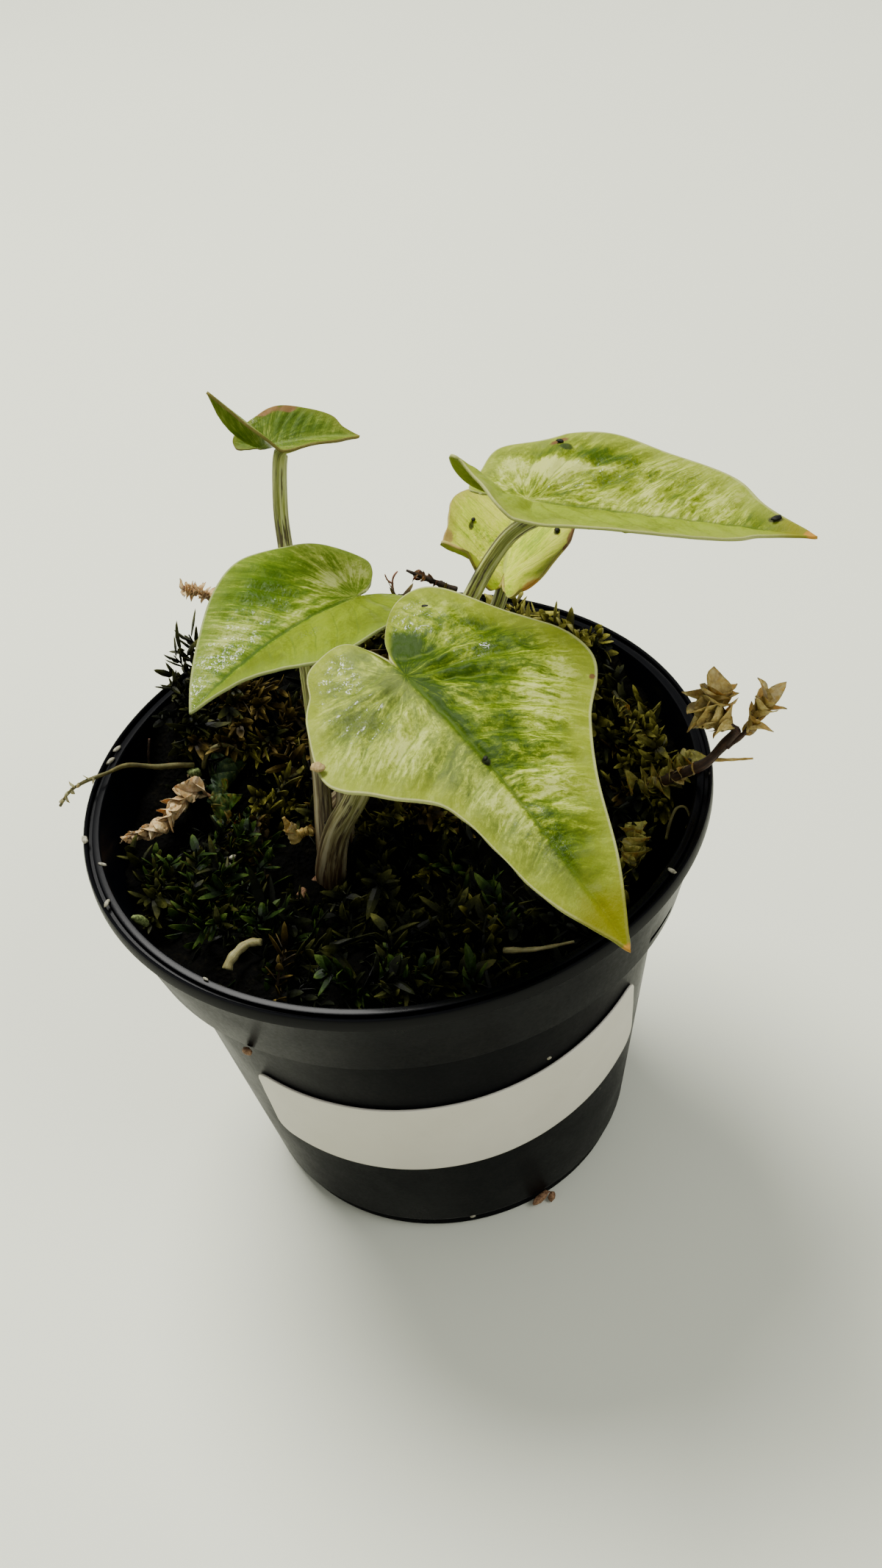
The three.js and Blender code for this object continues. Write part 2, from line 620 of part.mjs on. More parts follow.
function makeMoss(keepClear) {
  const random = makeRandom(41);
  let moss = makeBed();
  for (const [x, y, turn, length, lean] of shoots) {
    moss = moss.add(makeSpike(x, y, lean, turn * radians, length, 0.65));
  }
  const spikes = 78;
  let placed = 0;
  for (let i = 0; placed < spikes && i < 4000; i += 1) {
    const r = 31 * Math.sqrt(random());
    const a = random() * 2 * Math.PI;
    const x = r * Math.cos(a);
    const y = r * Math.sin(a);
    const high = mossHeight(x, y) > 53;
    const length = 2.2 + 2.6 * random() + (high ? 1.5 : 0);
    const lean = 0.35 + 0.45 * random();
    let turn = random() * 2 * Math.PI;
    const thick = 0.55 + 0.3 * random();
    if (high) turn = a + (random() - 0.5) * 1.6;
    else if (r > 24) turn = a + Math.PI + (random() - 0.5) * 2;
    const tip = [x + 1.25 * lean * length * Math.cos(turn), y + 1.25 * lean * length * Math.sin(turn)];
    if (keepClear(x, y) || keepClear(...tip)) continue;
    moss = moss.add(makeSpike(x, y, lean, turn, length, thick));
    placed += 1;
  }
  return toGeometry(moss.subtract(makePocket()));
}

const clearRoutes = Object.values(sprigs).flatMap(({ stems }) => stems.map(({ route }) => (
  new THREE.CatmullRomCurve3(route.map((p) => new THREE.Vector3(...p))).getPoints(24))));
function keepClear(x, y) {
  const inPocket = Math.hypot((x - cormCentre[0]) / (cormHalfWidth + 2), (y - cormCentre[1]) / (cormHalfLength + 2)) < 1;
  return inPocket || clearRoutes.some((points) => points.some((p) => Math.hypot(p.x - x, p.y - y) < 2.6));
}
addPiece('moss_bed', makeMoss(keepClear), colours.moss, 0.95);
for (const [name, sprig] of Object.entries(sprigs)) {
  addPiece(name, toGeometry(makeSprig(sprig)), sprig.colour, 0.8);
}

export default object;
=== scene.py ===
import math
import random

import bmesh
import bpy
from mathutils import Matrix, Vector, noise


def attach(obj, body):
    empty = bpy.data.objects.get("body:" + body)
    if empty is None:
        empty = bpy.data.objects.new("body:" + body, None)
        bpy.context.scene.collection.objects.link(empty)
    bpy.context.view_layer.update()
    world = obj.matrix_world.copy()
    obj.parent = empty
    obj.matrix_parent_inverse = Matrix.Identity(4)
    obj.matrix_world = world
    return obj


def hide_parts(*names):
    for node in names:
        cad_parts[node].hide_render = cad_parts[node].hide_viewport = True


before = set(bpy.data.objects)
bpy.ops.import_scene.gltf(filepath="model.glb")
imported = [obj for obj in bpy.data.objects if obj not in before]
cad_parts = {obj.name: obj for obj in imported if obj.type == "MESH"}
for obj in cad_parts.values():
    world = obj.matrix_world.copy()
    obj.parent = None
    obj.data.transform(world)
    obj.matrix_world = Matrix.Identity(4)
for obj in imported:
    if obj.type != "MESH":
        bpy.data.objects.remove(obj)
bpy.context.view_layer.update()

# A young corazon alocasia with five variegated leaves in a small black nursery pot.
# Everything below is modelled in millimetres, and finishPiece turns it into metres.
mm = 0.001
# Turn from one scale or leaflet to the next up a stem, in radians
spiralTurn = 2.4


# Camera, floor and light

view = {"place": (0, -163.8, 198.1), "turn": 1.81, "down": 41.61, "roll": -8.88, "lens": 43.88}


def addObject(name, data):
    made = bpy.data.objects.new(name, data)
    bpy.context.collection.objects.link(made)
    return made


def placeCamera():
    turn, down, roll = (math.radians(view[k]) for k in ("turn", "down", "roll"))
    data = bpy.data.cameras.new("camera")
    data.lens, data.sensor_width = view["lens"], 36
    data.clip_start, data.clip_end = 0.005, 20
    camera = addObject("camera", data)
    camera.matrix_world = (Matrix.Translation(Vector(view["place"]) * mm) @ Matrix.Rotation(-turn, 4, "Z")
                           @ Matrix.Rotation(math.pi / 2 - down, 4, "X") @ Matrix.Rotation(roll, 4, "Z"))
    bpy.context.scene.camera = camera


studio = {
    "floorColour": (0.75, 0.77, 0.62),
    "worldColour": (0.95, 0.96, 0.95),
    "worldStrength": 0.5,
    "aim": (0, 0, 0.05),
    # Place in metres, size, watts, colour
    "lamps": {
        "window": ((-0.16, 0.34, 0.7), 0.42, 11.3, (1, 0.99, 0.95)),
        "fill": ((0.6, -0.5, 0.8), 0.6, 4.4, (0.97, 0.98, 1)),
    },
}


def lightStudio():
    world = bpy.data.worlds.new("studio")
    bpy.context.scene.world = world
    world.use_nodes = True
    background = world.node_tree.nodes["Background"].inputs
    background[0].default_value = (*studio["worldColour"], 1)
    background[1].default_value = studio["worldStrength"]
    for name, (place, size, watts, colour) in studio["lamps"].items():
        data = bpy.data.lights.new(name, "AREA")
        data.shape, data.size, data.energy, data.color = "DISK", size, watts, colour
        light = addObject(name, data)
        light.location = place
        light.rotation_mode = "QUATERNION"
        light.rotation_quaternion = (Vector(place) - Vector(studio["aim"])).to_track_quat("Z", "Y")


def floorFinish():
    f = Finish("paleFloor")
    place = f.place()
    grain = f.speckle(place, 0.9, 3)
    tone = studio["floorColour"]
    colour = f.mix(tone, [c * 1.06 for c in tone], f.speckle(place, 0.01, 2))
    return f.surface(Base_Color=colour, Roughness=grain * 0.1 + 0.6, Normal=f.bump(grain, 0.05, 0.0001))


def makeFloor(material):
    bm = bmesh.new()
    bmesh.ops.create_grid(bm, x_segments=2, y_segments=2, size=3000)
    bmesh.ops.translate(bm, verts=bm.verts, vec=(0, 0, -0.02))
    floor = addObject("floor", meshFrom(bm, "floor"))
    floor.data.materials.append(material)


# Shader maths: a Field is one socket, and the usual signs build nodes from it


class Field:
    def __init__(self, finish, socket):
        self.finish = finish
        self.socket = socket

    def __add__(self, other): return self.finish.maths("ADD", self, other)
    def __sub__(self, other): return self.finish.maths("SUBTRACT", self, other)
    def __rsub__(self, other): return self.finish.maths("SUBTRACT", other, self)
    def __mul__(self, other): return self.finish.maths("MULTIPLY", self, other)
    def __truediv__(self, other): return self.finish.maths("DIVIDE", self, other)
    def __rtruediv__(self, other): return self.finish.maths("DIVIDE", other, self)
    __radd__ = __add__
    __rmul__ = __mul__


class Finish:
    def __init__(self, name):
        self.material = bpy.data.materials.new(name)
        self.material.use_nodes = True
        self.tree = self.material.node_tree
        self.tree.nodes.clear()

    def node(self, kind, settings=None, inputs=None, out=0):
        made = self.tree.nodes.new(kind)
        for key, value in (settings or {}).items():
            if key == "stops":
                elements = made.color_ramp.elements
                while len(elements) < len(value):
                    elements.new(1)
                for element, (at, tint) in zip(elements, value):
                    element.position, element.color = at, (*tint, 1)
            else:
                setattr(made, key, value)
        for key, value in (inputs or {}).items():
            if isinstance(value, Field):
                self.tree.links.new(value.socket, made.inputs[key])
            else:
                made.inputs[key].default_value = value
        return Field(self, made.outputs[out]) if made.outputs else None

    def ramp(self, value, stops):
        return self.node("ShaderNodeValToRGB", {"stops": stops}, {"Fac": value})

    def maths(self, operation, a, b=0.0):
        return self.node("ShaderNodeMath", {"operation": operation}, {0: a, 1: b})

    def hill(self, x, y):
        # 1 where both are 0, and nearly 0 from 2 on
        return self.maths("EXPONENT", (x * x + y * y) * -1.0)

    def clamp(self, value, low, high):
        # A soft step from 0 at low to 1 at high
        return self.node("ShaderNodeMapRange", {"interpolation_type": "SMOOTHSTEP"},
                         {"Value": value, "From Min": low, "From Max": high})

    def mix(self, a, b, factor):
        colours = {6: a if isinstance(a, Field) else (*a, 1), 7: b if isinstance(b, Field) else (*b, 1)}
        return self.node("ShaderNodeMix", {"data_type": "RGBA"}, {0: factor, **colours}, out=2)

    def attribute(self, name):
        return self.node("ShaderNodeAttribute", {"attribute_name": name}, out=2)

    def vector(self, x, y, z=0.0):
        return self.node("ShaderNodeCombineXYZ", inputs={0: x, 1: y, 2: z})

    def place(self, scale=(1000, 1000, 1000)):
        # Object coordinates, in millimetres unless stretched
        coords = self.node("ShaderNodeTexCoord", out=3)
        return self.node("ShaderNodeMapping", inputs={"Vector": coords, "Scale": scale})

    def speckle(self, vector, scale, detail=3.0, rough=0.55, warp=0.0):
        return self.node("ShaderNodeTexNoise", inputs={
            "Vector": vector, "Scale": scale, "Detail": detail, "Roughness": rough, "Distortion": warp})

    def cells(self, vector, scale, feature="F1"):
        return self.node("ShaderNodeTexVoronoi", {"feature": feature}, {"Vector": vector, "Scale": scale})

    def stemGrain(self, around, along, detail=4.0):
        # Streaks that run along a swept stem
        turn = (self.attribute("turnX") * around, self.attribute("turnY") * around)
        return self.speckle(self.vector(*turn, self.attribute("along") * along), 1.0, detail, 0.65)

    def bump(self, height, strength, distance):
        return self.node("ShaderNodeBump", inputs={
            "Height": height, "Strength": strength, "Distance": distance})

    def surface(self, **inputs):
        inputs = {name.replace("_", " "): value for name, value in inputs.items()}
        shader = self.node("ShaderNodeBsdfPrincipled", inputs=inputs)
        self.node("ShaderNodeOutputMaterial", inputs={"Surface": shader})
        return self.material


# Mesh helpers


def meshFrom(bm, name, scale=mm):
    mesh = bpy.data.meshes.new(name)
    bm.to_mesh(mesh)
    bm.free()
    mesh.transform(Matrix.Scale(scale, 4))
    return mesh


def finishPiece(name, bm, material, slotName, *nodes, smooth=True):
    piece = addObject(name, meshFrom(bm, name))
    for face in piece.data.polygons:
        face.use_smooth = smooth
    piece.data.materials.append(material)
    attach(piece, "root")
    if nodes:
        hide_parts(*nodes)
    return piece


def addAttribute(bm, name):
    return bm.verts.layers.float.get(name) or bm.verts.layers.float.new(name)


def closeRing(bm, verts):
    edges = {e for v in verts if v.is_valid for e in v.link_edges if e.is_boundary}
    bmesh.ops.contextual_create(bm, geom=list(edges))


def alongCurve(points, share):
    # Place on the Catmull-Rom curve through the points
    at = share * (len(points) - 1)
    i = min(int(at), len(points) - 2)
    t = at - i
    p0, p1, p2, p3 = (points[min(max(k, 0), len(points) - 1)] for k in range(i - 1, i + 3))
    v0, v1 = (p2 - p0) / 2, (p3 - p1) / 2
    return (2 * p1 - 2 * p2 + v0 + v1) * t ** 3 + (3 * p2 - 3 * p1 - 2 * v0 - v1) * t ** 2 + v0 * t + p1


def smoothRoute(points, steps):
    # The same curve in even steps
    points = [Vector(p) for p in points]
    pieces = 12 * (len(points) - 1)
    dense = [alongCurve(points, i / pieces) for i in range(pieces + 1)]
    lengths = [0]
    for a, b in zip(dense, dense[1:]):
        lengths.append(lengths[-1] + (b - a).length)
    even = []
    k = 0
    for i in range(steps + 1):
        want = lengths[-1] * i / steps
        while k < pieces - 1 and lengths[k + 1] < want:
            k += 1
        span = max(lengths[k + 1] - lengths[k], 1e-9)
        even.append(dense[k].lerp(dense[k + 1], (want - lengths[k]) / span))
    return even


def sweepStem(bm, route, steps, sides, radiusAt, ridges=0.0):
    # A grid rolled round the route and closed at both ends
    path = smoothRoute(route, steps)
    length = sum((b - a).length for a, b in zip(path, path[1:]))
    layers = [addAttribute(bm, n) for n in ("turnX", "turnY", "along")]
    grid = bmesh.ops.create_grid(bm, x_segments=steps, y_segments=sides, size=1)["verts"]
    ways = [(path[min(i + 1, steps)] - path[max(i - 1, 0)]).normalized() for i in range(steps + 1)]
    side = ways[0].orthogonal().normalized()
    frames = []
    for way in ways:
        side = (side - way * side.dot(way)).normalized()
        frames.append((side, way.cross(side)))
    rings = {0: [], steps: []}
    for v in grid:
        i = round((v.co.x + 1) / 2 * steps)
        turn = (v.co.y + 1) * math.pi
        ridge = ridges * (math.sin(7 * turn + 1.3) + 0.5 * math.sin(12 * turn))
        radius = radiusAt(i / steps) * (1 + ridge)
        a, b = frames[i]
        v.co = path[i] + (a * math.cos(turn) + b * math.sin(turn)) * radius
        for layer, value in zip(layers, (math.cos(turn), math.sin(turn), i / steps * length)):
            v[layer] = value
        if i in rings:
            rings[i].append(v)
    bmesh.ops.remove_doubles(bm, verts=grid, dist=1e-4)
    for ring in rings.values():
        closeRing(bm, ring)


def scaleTurn(at, way, outward):
    # Lays a small leaf along way with its back to outward
    normal = (outward - way * outward.dot(way)).normalized()
    return Matrix.Translation(at) @ Matrix((normal.cross(way), normal, way)).transposed().to_4x4()


# Leaves: the same hearts as the solids, finer, thinner, puckered and veined

outlineAngles = [8, 20, 40, 65, 95, 125, 145, 158, 170]

leaves = {
    "front": {
        "at": (3.6, -12, 77.4), "heading": -66, "rise": 1, "bank": 2, "fold": 1, "droop": 0.27, "curl": 0.13,
        "liftLeft": 0.03, "liftRight": -0.1, "tip": 36, "notch": 3.5, "wave": 0.45, "rings": 74, "steps": 150,
        "left": [29.5, 22.5, 18.5, 18.5, 15.5, 14.5, 15.5, 13.5, 8.5],
        "right": [28.5, 17.5, 16, 15.5, 12, 11, 12.5, 12, 10],
    },
    "left": {
        "at": (-1.7, 10.6, 72.8), "heading": 217, "rise": 15, "bank": -2, "fold": 13, "droop": 0.32,
        "curl": 0.02, "liftLeft": -0.1, "liftRight": 0.04, "tip": 22, "notch": 1.5, "wave": 0.25,
        "rings": 60, "steps": 120,
        "left": [17.5, 15.5, 14, 11, 9.5, 8.5, 7.5, 6.5, 4.5],
        "right": [20, 17.5, 15, 13, 10.5, 9.5, 8.5, 6.5, 4],
    },
    "back_left": {
        "at": (-6.4, 23, 86.5), "heading": 8, "rise": 0, "bank": 6, "fold": 27, "droop": 0.17, "curl": 0,
        "liftLeft": -0.1, "liftRight": 1.45, "tip": 9.5, "notch": 1, "wave": 0.1, "rings": 36, "steps": 80,
        "left": [8, 7.5, 6, 5, 4.5, 4.5, 5, 5, 4],
        "right": [8, 7, 5.5, 4.5, 4, 4.5, 5, 6.5, 6],
    },
    "right": {
        "at": (20.2, 4, 85.7), "heading": -25, "rise": -3, "bank": -10, "fold": 20, "droop": 0, "curl": 0.13,
        "liftLeft": -0.2, "liftRight": 0.6, "tip": 29, "notch": 1, "wave": 0.25, "rings": 70, "steps": 140,
        "left": [23.5, 20.5, 16, 13.5, 11.5, 12, 10, 9.5, 7.5],
        "right": [24, 22.5, 18, 13, 11.5, 8.5, 8.5, 9.5, 7.5],
    },
    "small_right": {
        "at": (16.3, 11.8, 72.1), "heading": 76, "rise": 4, "bank": 2, "fold": 34, "droop": 0.12, "curl": 0.07,
        "liftLeft": 1, "liftRight": 0.35, "tip": 20.5, "notch": 0.5, "wave": 0.1, "rings": 48, "steps": 100,
        "left": [17, 14.5, 12, 8.5, 8, 8.5, 9, 9, 6],
        "right": [17, 14, 11.5, 10.5, 9, 8.5, 9.5, 9.5, 6],
    },
}

# How the blades are worked over: depths and sizes in millimetres
bladeRelief = {
    "thickness": 0.32,
    "midribDepth": 0.3,
    "midribWidth": 0.45,
    "veinDepth": 0.13,
    "puckerHeight": 0.16,
    "puckerSize": 1.1,
    "veinsPerBlade": 7.5,
}


def leafAxes(leaf):
    h, e, b = (math.radians(leaf[k]) for k in ("heading", "rise", "bank"))
    ahead = Vector((math.cos(h) * math.cos(e), math.sin(h) * math.cos(e), math.sin(e)))
    level = Vector((-math.sin(h), math.cos(h), 0))
    up = ahead.cross(level)
    return ahead, level * math.cos(b) + up * math.sin(b), up * math.cos(b) - level * math.sin(b)


def leafPoint(leaf, forward, aside, extra=0.0):
    ahead, side, normal = leafAxes(leaf)
    fold = math.radians(leaf["fold"])
    soft = 0.03 * leaf["tip"]
    away = math.hypot(aside, soft) - soft
    lift = leaf["liftLeft"] if aside > 0 else leaf["liftRight"]
    height = away * math.sin(fold) - leaf["curl"] * aside ** 2 / leaf["tip"]
    if forward > 0:
        height -= leaf["droop"] * forward ** 2 / leaf["tip"]
    height += max(-forward, 0) * lift * min(abs(aside) / (0.15 * leaf["tip"]), 1) + extra
    return Vector(leaf["at"]) + ahead * forward + side * aside * math.cos(fold) + normal * height


def leafOutline(leaf):
    # The blade's edge, once round from its tip
    halves = []
    for reaches, side in ((leaf["left"], 1), (leaf["right"], -1)):
        points = [Vector((leaf["tip"], 0))]
        for degrees, reach in zip(outlineAngles, reaches):
            a = math.radians(degrees)
            points.append(Vector((reach * math.cos(a), side * reach * math.sin(a))))
        points.append(Vector((-leaf["notch"], 0)))
        halves.append([alongCurve(points, i / leaf["steps"]) for i in range(leaf["steps"] + 1)])
    return halves[0] + halves[1][::-1][1:]


def veinPhase(leaf, forward, aside):
    # Whole numbers are side veins: they leave the midrib and bend towards the tip
    x, y = forward / leaf["tip"], abs(aside) / leaf["tip"]
    start = x - 0.42 * y - 0.75 * y * y
    if start > 0:
        return start * bladeRelief["veinsPerBlade"]
    return start / (math.hypot(x, y) + 0.05) * 2.6


def makeBlade(key, material, slotName):
    leaf = leaves[key]
    outline = leafOutline(leaf)
    around, rings = len(outline) - 1, leaf["rings"]
    relief = bladeRelief
    bm = bmesh.new()
    bmesh.ops.create_grid(bm, x_segments=rings, y_segments=around, size=1)
    layers = [addAttribute(bm, n) for n in ("forward", "aside", "edge", "vein", "midrib")]
    seed = Vector((leaf["at"][0] * 3, leaf["at"][1] * 2, 5))
    for v in bm.verts:
        ring = round((v.co.x + 1) / 2 * rings)
        turn = round((v.co.y + 1) / 2 * around)
        share = 1 - (1 - ring / rings) ** 1.15
        forward, aside = outline[turn] * share
        phase = veinPhase(leaf, forward, aside)
        near = abs(phase - round(phase))
        size = leaf["tip"] / 36
        ripple = leaf["wave"] * share ** 3 * math.sin(6 * math.atan2(outline[turn].y, outline[turn].x))
        inside = min(1, (1 - share) * 9) * min(1, math.hypot(forward, aside) / (0.08 * leaf["tip"]))
        flat = Vector((forward, aside, 0)) / relief["puckerSize"]
        pucker = noise.noise(flat + seed) + 0.4 * noise.noise(flat * 1.9 + seed)
        away = abs(aside) / relief["midribWidth"]
        groove = relief["midribDepth"] * math.exp(-away ** 2) * min(1, max(0, forward / 3 + 0.4))
        groove += relief["veinDepth"] * math.exp(-(near / 0.1) ** 2) * inside
        quilt = 0.22 * size * math.cos(2 * math.pi * phase) * inside * min(1, abs(aside) / 3)
        extra = ripple + relief["puckerHeight"] * pucker * inside * size - groove * size - quilt
        for layer, value in zip(layers, (forward, aside, share, phase, abs(aside))):
            v[layer] = value
        v.co = leafPoint(leaf, forward, aside, extra)
    bmesh.ops.remove_doubles(bm, verts=bm.verts, dist=1e-4)
    bmesh.ops.recalc_face_normals(bm, faces=bm.faces)
    up = leafAxes(leaf)[2]
    if sum((f.normal * f.calc_area() for f in bm.faces), Vector()).dot(up) < 0:
        bmesh.ops.reverse_faces(bm, faces=bm.faces)
    blade = finishPiece(f"blade_{key}", bm, material, slotName, f"leaf_{key}")
    shell = blade.modifiers.new("thickness", "SOLIDIFY")
    shell.thickness, shell.offset = relief["thickness"] * mm, -1
    return blade


def bladeFinish(name, look):
    f = Finish(name)
    forward, aside, edge = f.attribute("forward"), f.attribute("aside"), f.attribute("edge")
    phase, midrib = f.attribute("vein"), f.attribute("midrib")
    flat = f.vector(forward, aside)
    wander = f.speckle(flat, 0.3, 3, 0.6) - 0.5
    half = f.clamp(aside, -0.1, 0.1) * 9 + look["seed"]
    strokes = f.speckle(f.vector(phase * 5.6 + wander * 1.5, midrib * 0.42, half), 1.0, 5, 0.75, 0.6) - 0.5
    hairs = f.speckle(f.vector(phase * 9, midrib * 0.4, half), 1.0, 3, 0.6, 0.3) - 0.5
    # Near the petiole the strokes fan out from its end
    radial = f.maths("SQRT", forward * forward + aside * aside)
    turn = f.maths("ARCTAN2", aside, forward + 1.5)
    fan = f.speckle(f.vector(turn * 8, radial * 0.3, look["seed"]), 1.0, 5, 0.75, 0.5) - 0.5
    nearStem = 1 - f.clamp(radial + wander * 4, 5.0, 13.0)
    strokes = strokes * (1 - nearStem) + fan * nearStem
    zones = f.speckle(f.vector(forward, aside, look["seed"]), 0.13, 3, 0.5, 0.4) - 0.5
    fine = f.speckle(flat, 2.4, 4, 0.7) - 0.5
    green = strokes * look["strokes"] + hairs * 0.6 + zones * 0.9 + fine * 0.5 + look["greenness"]
    for x, y, along, across, gain in look["patches"]:
        green = green + f.hill((forward - x + wander * 3) / along, (aside - y + wander * 2) / across) * gain
    colour = f.ramp(green, look["stops"])
    # The near half gets a plain colour: painted glow of the light that shines through it from behind
    side, backlitColour, amount = look["backlitHalf"]
    plain = f.clamp(aside * side + wander * 0.6, 0.0, 0.9) * amount
    shade = f.clamp(zones + fine * 0.6 + strokes * 0.5, -0.1, 0.25)
    colour = f.mix(colour, f.mix(backlitColour, [c * 0.62 for c in backlitColour], shade), plain)
    near = f.maths("ABSOLUTE", f.maths("SUBTRACT", f.maths("FRACT", phase + wander * 0.25 + 0.5), 0.5))
    veinLine = (1 - f.clamp(near, 0.0, 0.05)) * f.clamp(midrib, 0.3, 2.5) * (1 - f.clamp(edge, 0.75, 0.95))
    colour = f.mix(colour, look["vein"], veinLine * 0.6)
    ribLine = (1 - f.clamp(midrib + fine * 0.2, 0.1, 0.42)) * f.clamp(forward, -1.5, 0.5)
    ribColour, amount = look["rib"]
    colour = f.mix(colour, ribColour, ribLine * amount)
    rimColour, start, amount = look["rim"]
    colour = f.mix(colour, rimColour, f.clamp(edge + wander * 0.25, start, 1.0) * amount)
    colour = f.mix(colour, look["margin"], f.clamp(edge, 0.98, 0.992) * 0.6)
    tipColour, start = look["tip"]
    colour = f.mix(colour, tipColour, f.clamp(forward + wander * 4, start, start * 1.14) * 0.85)
    wobble = f.speckle(flat, 1.4, 3) * 0.9
    for x, y, along, across, spotColour in look["spots"]:
        dx, dy = (forward - x) / along, (aside - y) / across
        mark = 1 - f.clamp(dx * dx + dy * dy + wobble - 0.45, 0.4, 1.2)
        colour = f.mix(colour, spotColour, mark * 0.9)
    shine = wander * 0.6
    for x, y, along, across in look["gloss"]:
        shine = shine + f.hill((forward - x + wander * 3) / along, (aside - y + wander * 3) / across)
    shine = f.clamp(shine, 0.25, 0.8)
    crease = f.cells(flat, 2.6, "SMOOTH_F1")
    skin = f.speckle(flat, 5.0, 4, 0.6)
    relief = (crease * 0.8 + fine) * (shine * 0.6 + 0.15) + skin * 0.2 + strokes * 0.3
    normal = f.bump(relief, look["puckers"], 0.0004)
    rough = look["roughness"] - shine * 0.3 + fine * 0.08
    glints = shine * f.clamp(skin + fine, 0.52, 0.64)
    return f.surface(Base_Color=colour, Roughness=rough, Normal=normal, Specular_IOR_Level=0.07,
                     Coat_Weight=glints, Coat_Roughness=0.17, Subsurface_Weight=0.1,
                     Subsurface_Radius=(0.6, 1, 0.2), Subsurface_Scale=0.001)


cream = (0.44, 0.48, 0.12)
paleGreen = (0.235, 0.29, 0.022)
midGreen = (0.075, 0.12, 0.0008)
deepGreen = (0.022, 0.05, 0)
yellowGreen = (0.21, 0.25, 0.018)
orange = (0.42, 0.2, 0.03)
scorch = (0.13, 0.055, 0.022)
nearBlack = (0.008, 0.009, 0.004)
